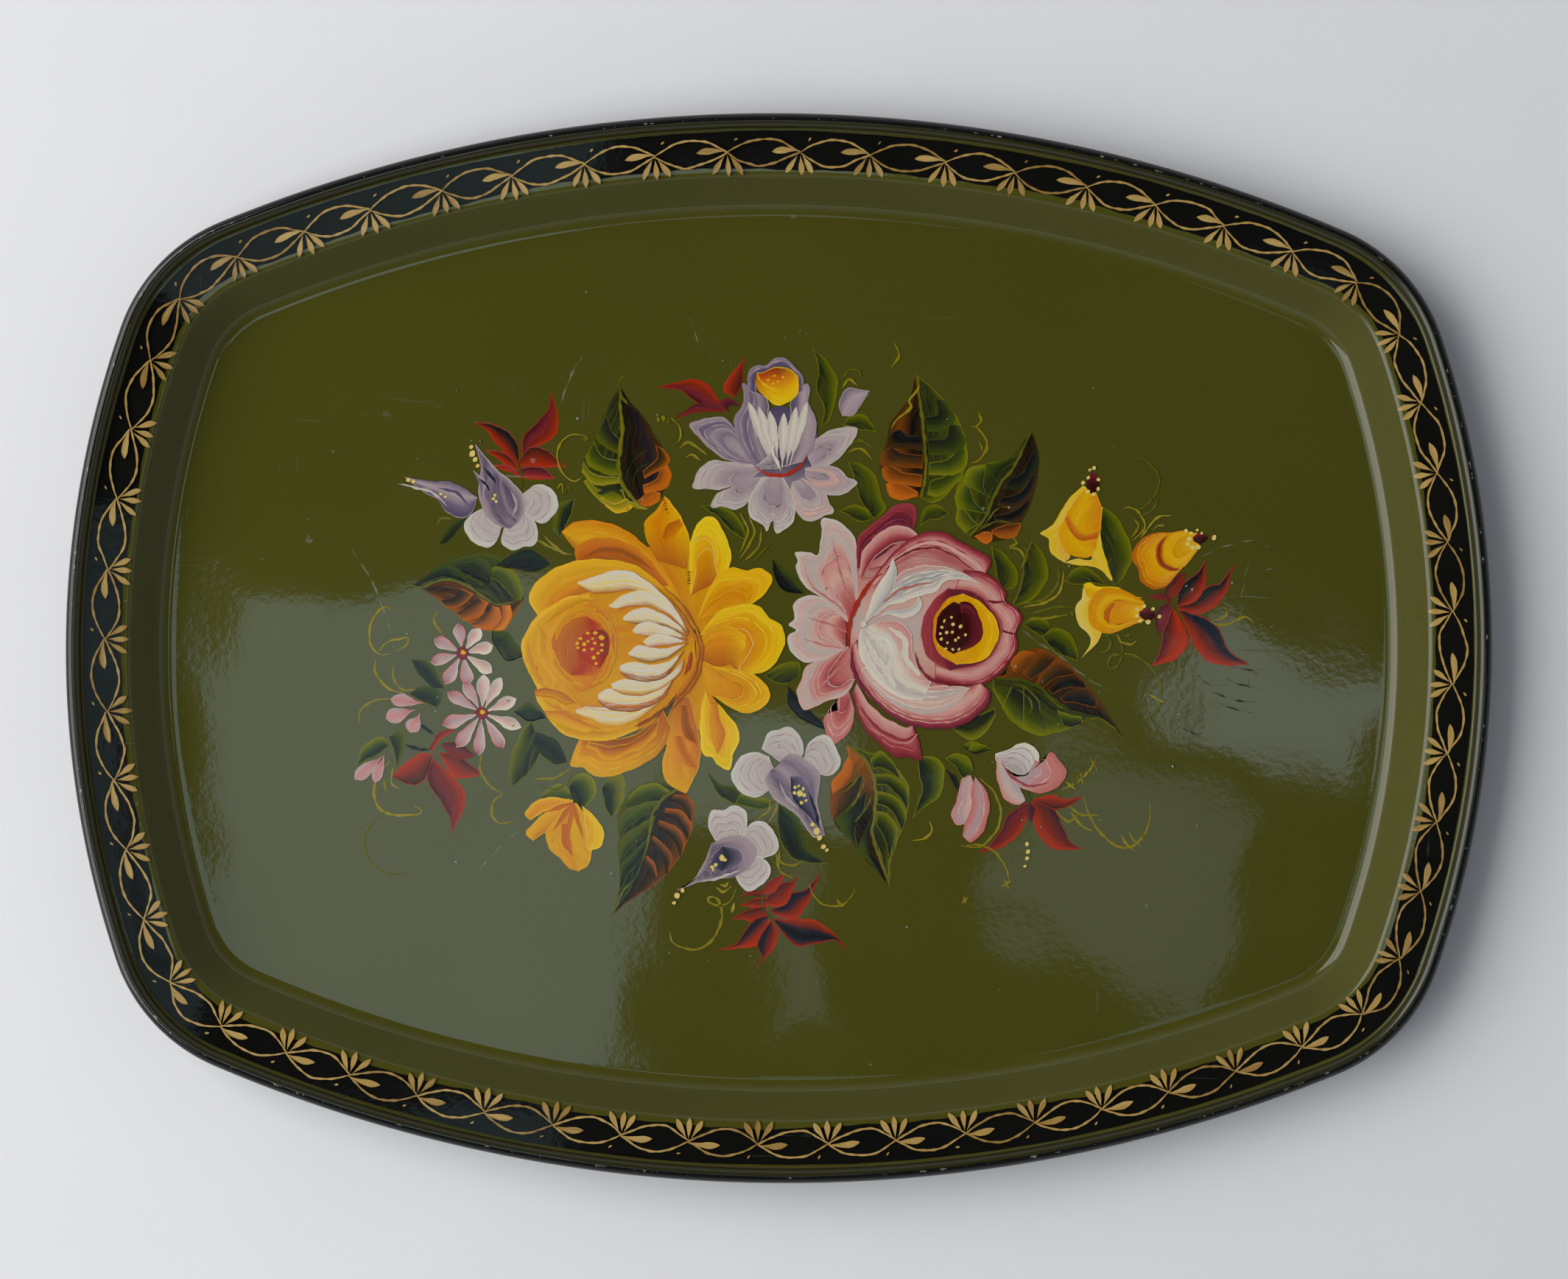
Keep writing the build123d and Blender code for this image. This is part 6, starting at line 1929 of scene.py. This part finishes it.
BOUQUET = (
    # name, painter, height of the first stroke, spacing of the mesh; motifs that cover others
    # start above them, and no two share a height
    ("painted_leaves_left", paint_left_leaves, 0.0200, 0.65),
    ("painted_leaves_lower", paint_lower_leaves, 0.0205, 0.65),
    ("painted_leaves_upper", paint_upper_leaves, 0.0210, 0.65),
    ("painted_red_leaves", paint_red_leaves, 0.0215, 0.6),
    ("painted_tendrils", paint_tendrils, 0.0220, 0.6),
    ("painted_bells", paint_bells, 0.2100, 0.6),
    ("painted_daisies_and_buds", paint_daisies_and_buds, 0.2105, 0.6),
    ("painted_yellow_buds", paint_yellow_buds, 0.2118, 0.6),
    ("painted_yellow_rose", paint_yellow_rose, 0.2115, 0.85),
    ("painted_pink_rose", paint_pink_rose, 0.2120, 0.75),
    ("painted_lilac_flower", paint_lilac_flower, 0.2125, 0.6),
)


def build_bouquet():
    """The whole bunch, one piece for each motif."""
    oil = oil_paint("flower_paint")
    for name, painter, first_lift, spacing in BOUQUET:
        painting = Painting(name, first_lift=first_lift, spacing=spacing)
        painter(painting)
        painting.build(oil)


# ---- floor, light and camera ------------------------------------------------------------------
STUDIO_LIGHTS = (
    # name, place, aim, size, turn in degrees, watts, colour; metres.  The panels hang level with
    # the camera and are what the lacquer mirrors back: pale patches along the lower half.
    ("key_window", (-1.5, 0.12, 1.45), (0, 0, 0), (2.6, 1.8), 0, 46.5, (1.0, 0.98, 0.96)),
    ("left_panel", (-0.225, -0.134, 1.2), (-0.225, -0.134, 0), (0.28, 0.323), 0, 0.42, (0.67, 0.94, 1.0)),
    ("middle_panel", (-0.012, -0.082, 1.2), (-0.012, -0.082, 0), (0.13, 0.084), 0, 0.050,
     (0.67, 0.94, 1.0)),
    ("right_panel", (0.328, -0.036, 1.2), (0.328, -0.036, 0), (0.162, 0.088), -20, 0.075,
     (0.76, 0.94, 1.0)),
    ("near_panel", (0.228, -0.152, 1.2), (0.228, -0.152, 0), (0.150, 0.134), -27, 0.047,
     (0.67, 0.94, 1.0)),
    ("low_panel", (0.002, -0.208, 1.2), (0.002, -0.208, 0), (0.046, 0.11), 8, 0.011, (0.67, 0.94, 1.0)),
)


def ranged(tree, value, low, high, at_low, at_high, kind="LINEAR"):
    """A value that runs from at_low to at_high while the given one runs from low to high."""
    made = tree.nodes.new("ShaderNodeMapRange")
    made.interpolation_type = kind
    tree.links.new(value, made.inputs["Value"])
    for name, limit in (("From Min", low), ("From Max", high), ("To Min", at_low), ("To Max", at_high)):
        made.inputs[name].default_value = limit
    return made.outputs["Result"]


def build_studio():
    """A plain pale floor, a soft window at the left and a dark ceiling for the lacquer to mirror."""
    size, count = 6000.0, 41
    steps = np.linspace(-size / 2, size / 2, count)
    x, y = np.meshgrid(steps, steps, indexing="ij")
    points = np.stack([x, y, np.zeros_like(x)], axis=-1).reshape(-1, 3) * MM
    mesh = bpy.data.meshes.new("studio_floor")
    mesh.from_pydata(points.tolist(), [], grid_faces(count, count).tolist())
    floor = bpy.data.objects.new("studio_floor", mesh)
    bpy.context.scene.collection.objects.link(floor)
    nodes = Nodes("studio_floor")
    tone = nodes.noise(nodes.place((1, 1, 1)), 30.0, 4.0)
    colour = nodes.mix(tone, rgba((240, 240, 243)), rgba((244, 244, 246)))
    nodes.set(nodes.shader.inputs["Base Color"], colour)
    nodes.shader.inputs["Roughness"].default_value = 0.9
    nodes.shader.inputs["Specular IOR Level"].default_value = 0.1
    mesh.materials.append(nodes.material)

    world = bpy.data.worlds.new("studio")
    bpy.context.scene.world = world
    world.use_nodes = True
    tree = world.node_tree
    background = tree.nodes["Background"]
    direction = tree.nodes.new("ShaderNodeTexCoord")
    upright = tree.nodes.new("ShaderNodeSeparateXYZ")
    tree.links.new(direction.outputs["Generated"], upright.inputs[0])
    # bright low down and dark overhead, a little brighter at the left
    band = ranged(tree, upright.outputs["Z"], 0.20, 0.93, 0.53, 0.03, "SMOOTHSTEP")
    side = ranged(tree, upright.outputs["X"], -1.0, 1.0, 1.25, 0.90)
    product = tree.nodes.new("ShaderNodeMath")
    product.operation = "MULTIPLY"
    tree.links.new(band, product.inputs[0])
    tree.links.new(side, product.inputs[1])
    tree.links.new(product.outputs["Value"], background.inputs["Strength"])
    background.inputs["Color"].default_value = (0.90, 0.94, 1.0, 1.0)

    for name, place, aim, size, turn, power, colour in STUDIO_LIGHTS:
        light = bpy.data.lights.new(name, "AREA")
        light.shape = "RECTANGLE"
        light.size, light.size_y = size
        light.energy = power
        light.color = colour
        lamp = bpy.data.objects.new(name, light)
        bpy.context.scene.collection.objects.link(lamp)
        lamp.location = place
        facing = (Vector(aim) - Vector(place)).to_track_quat("-Z", "Y")
        lamp.rotation_euler = (facing @ Quaternion((0, 0, 1), math.radians(turn))).to_euler()


def build_camera():
    """Straight above the tray, turned a hair so that the tray leans clockwise as it lay."""
    view_width = 506.1  # across the frame, at the height of the rim
    rim_height = 17.0
    lens, sensor = 85.0, 36.0
    above_x, above_y = 1.6, 2.8
    lean = math.radians(0.45)
    camera_data = bpy.data.cameras.new("camera")
    camera_data.lens = lens
    camera_data.sensor_width = sensor
    camera = bpy.data.objects.new("camera", camera_data)
    bpy.context.scene.collection.objects.link(camera)
    height = view_width / sensor * lens + rim_height
    camera.location = (above_x * MM, above_y * MM, height * MM)
    camera.rotation_euler = (0, 0, lean)
    bpy.context.scene.camera = camera
    bpy.context.scene.view_settings.view_transform = "Standard"


build_camera()
build_studio()
build_sheet()
build_band()
build_border()
build_bouquet()
build_wear()

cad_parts["rim_wire"].data.materials.clear()
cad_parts["rim_wire"].data.materials.append(steel_wire())
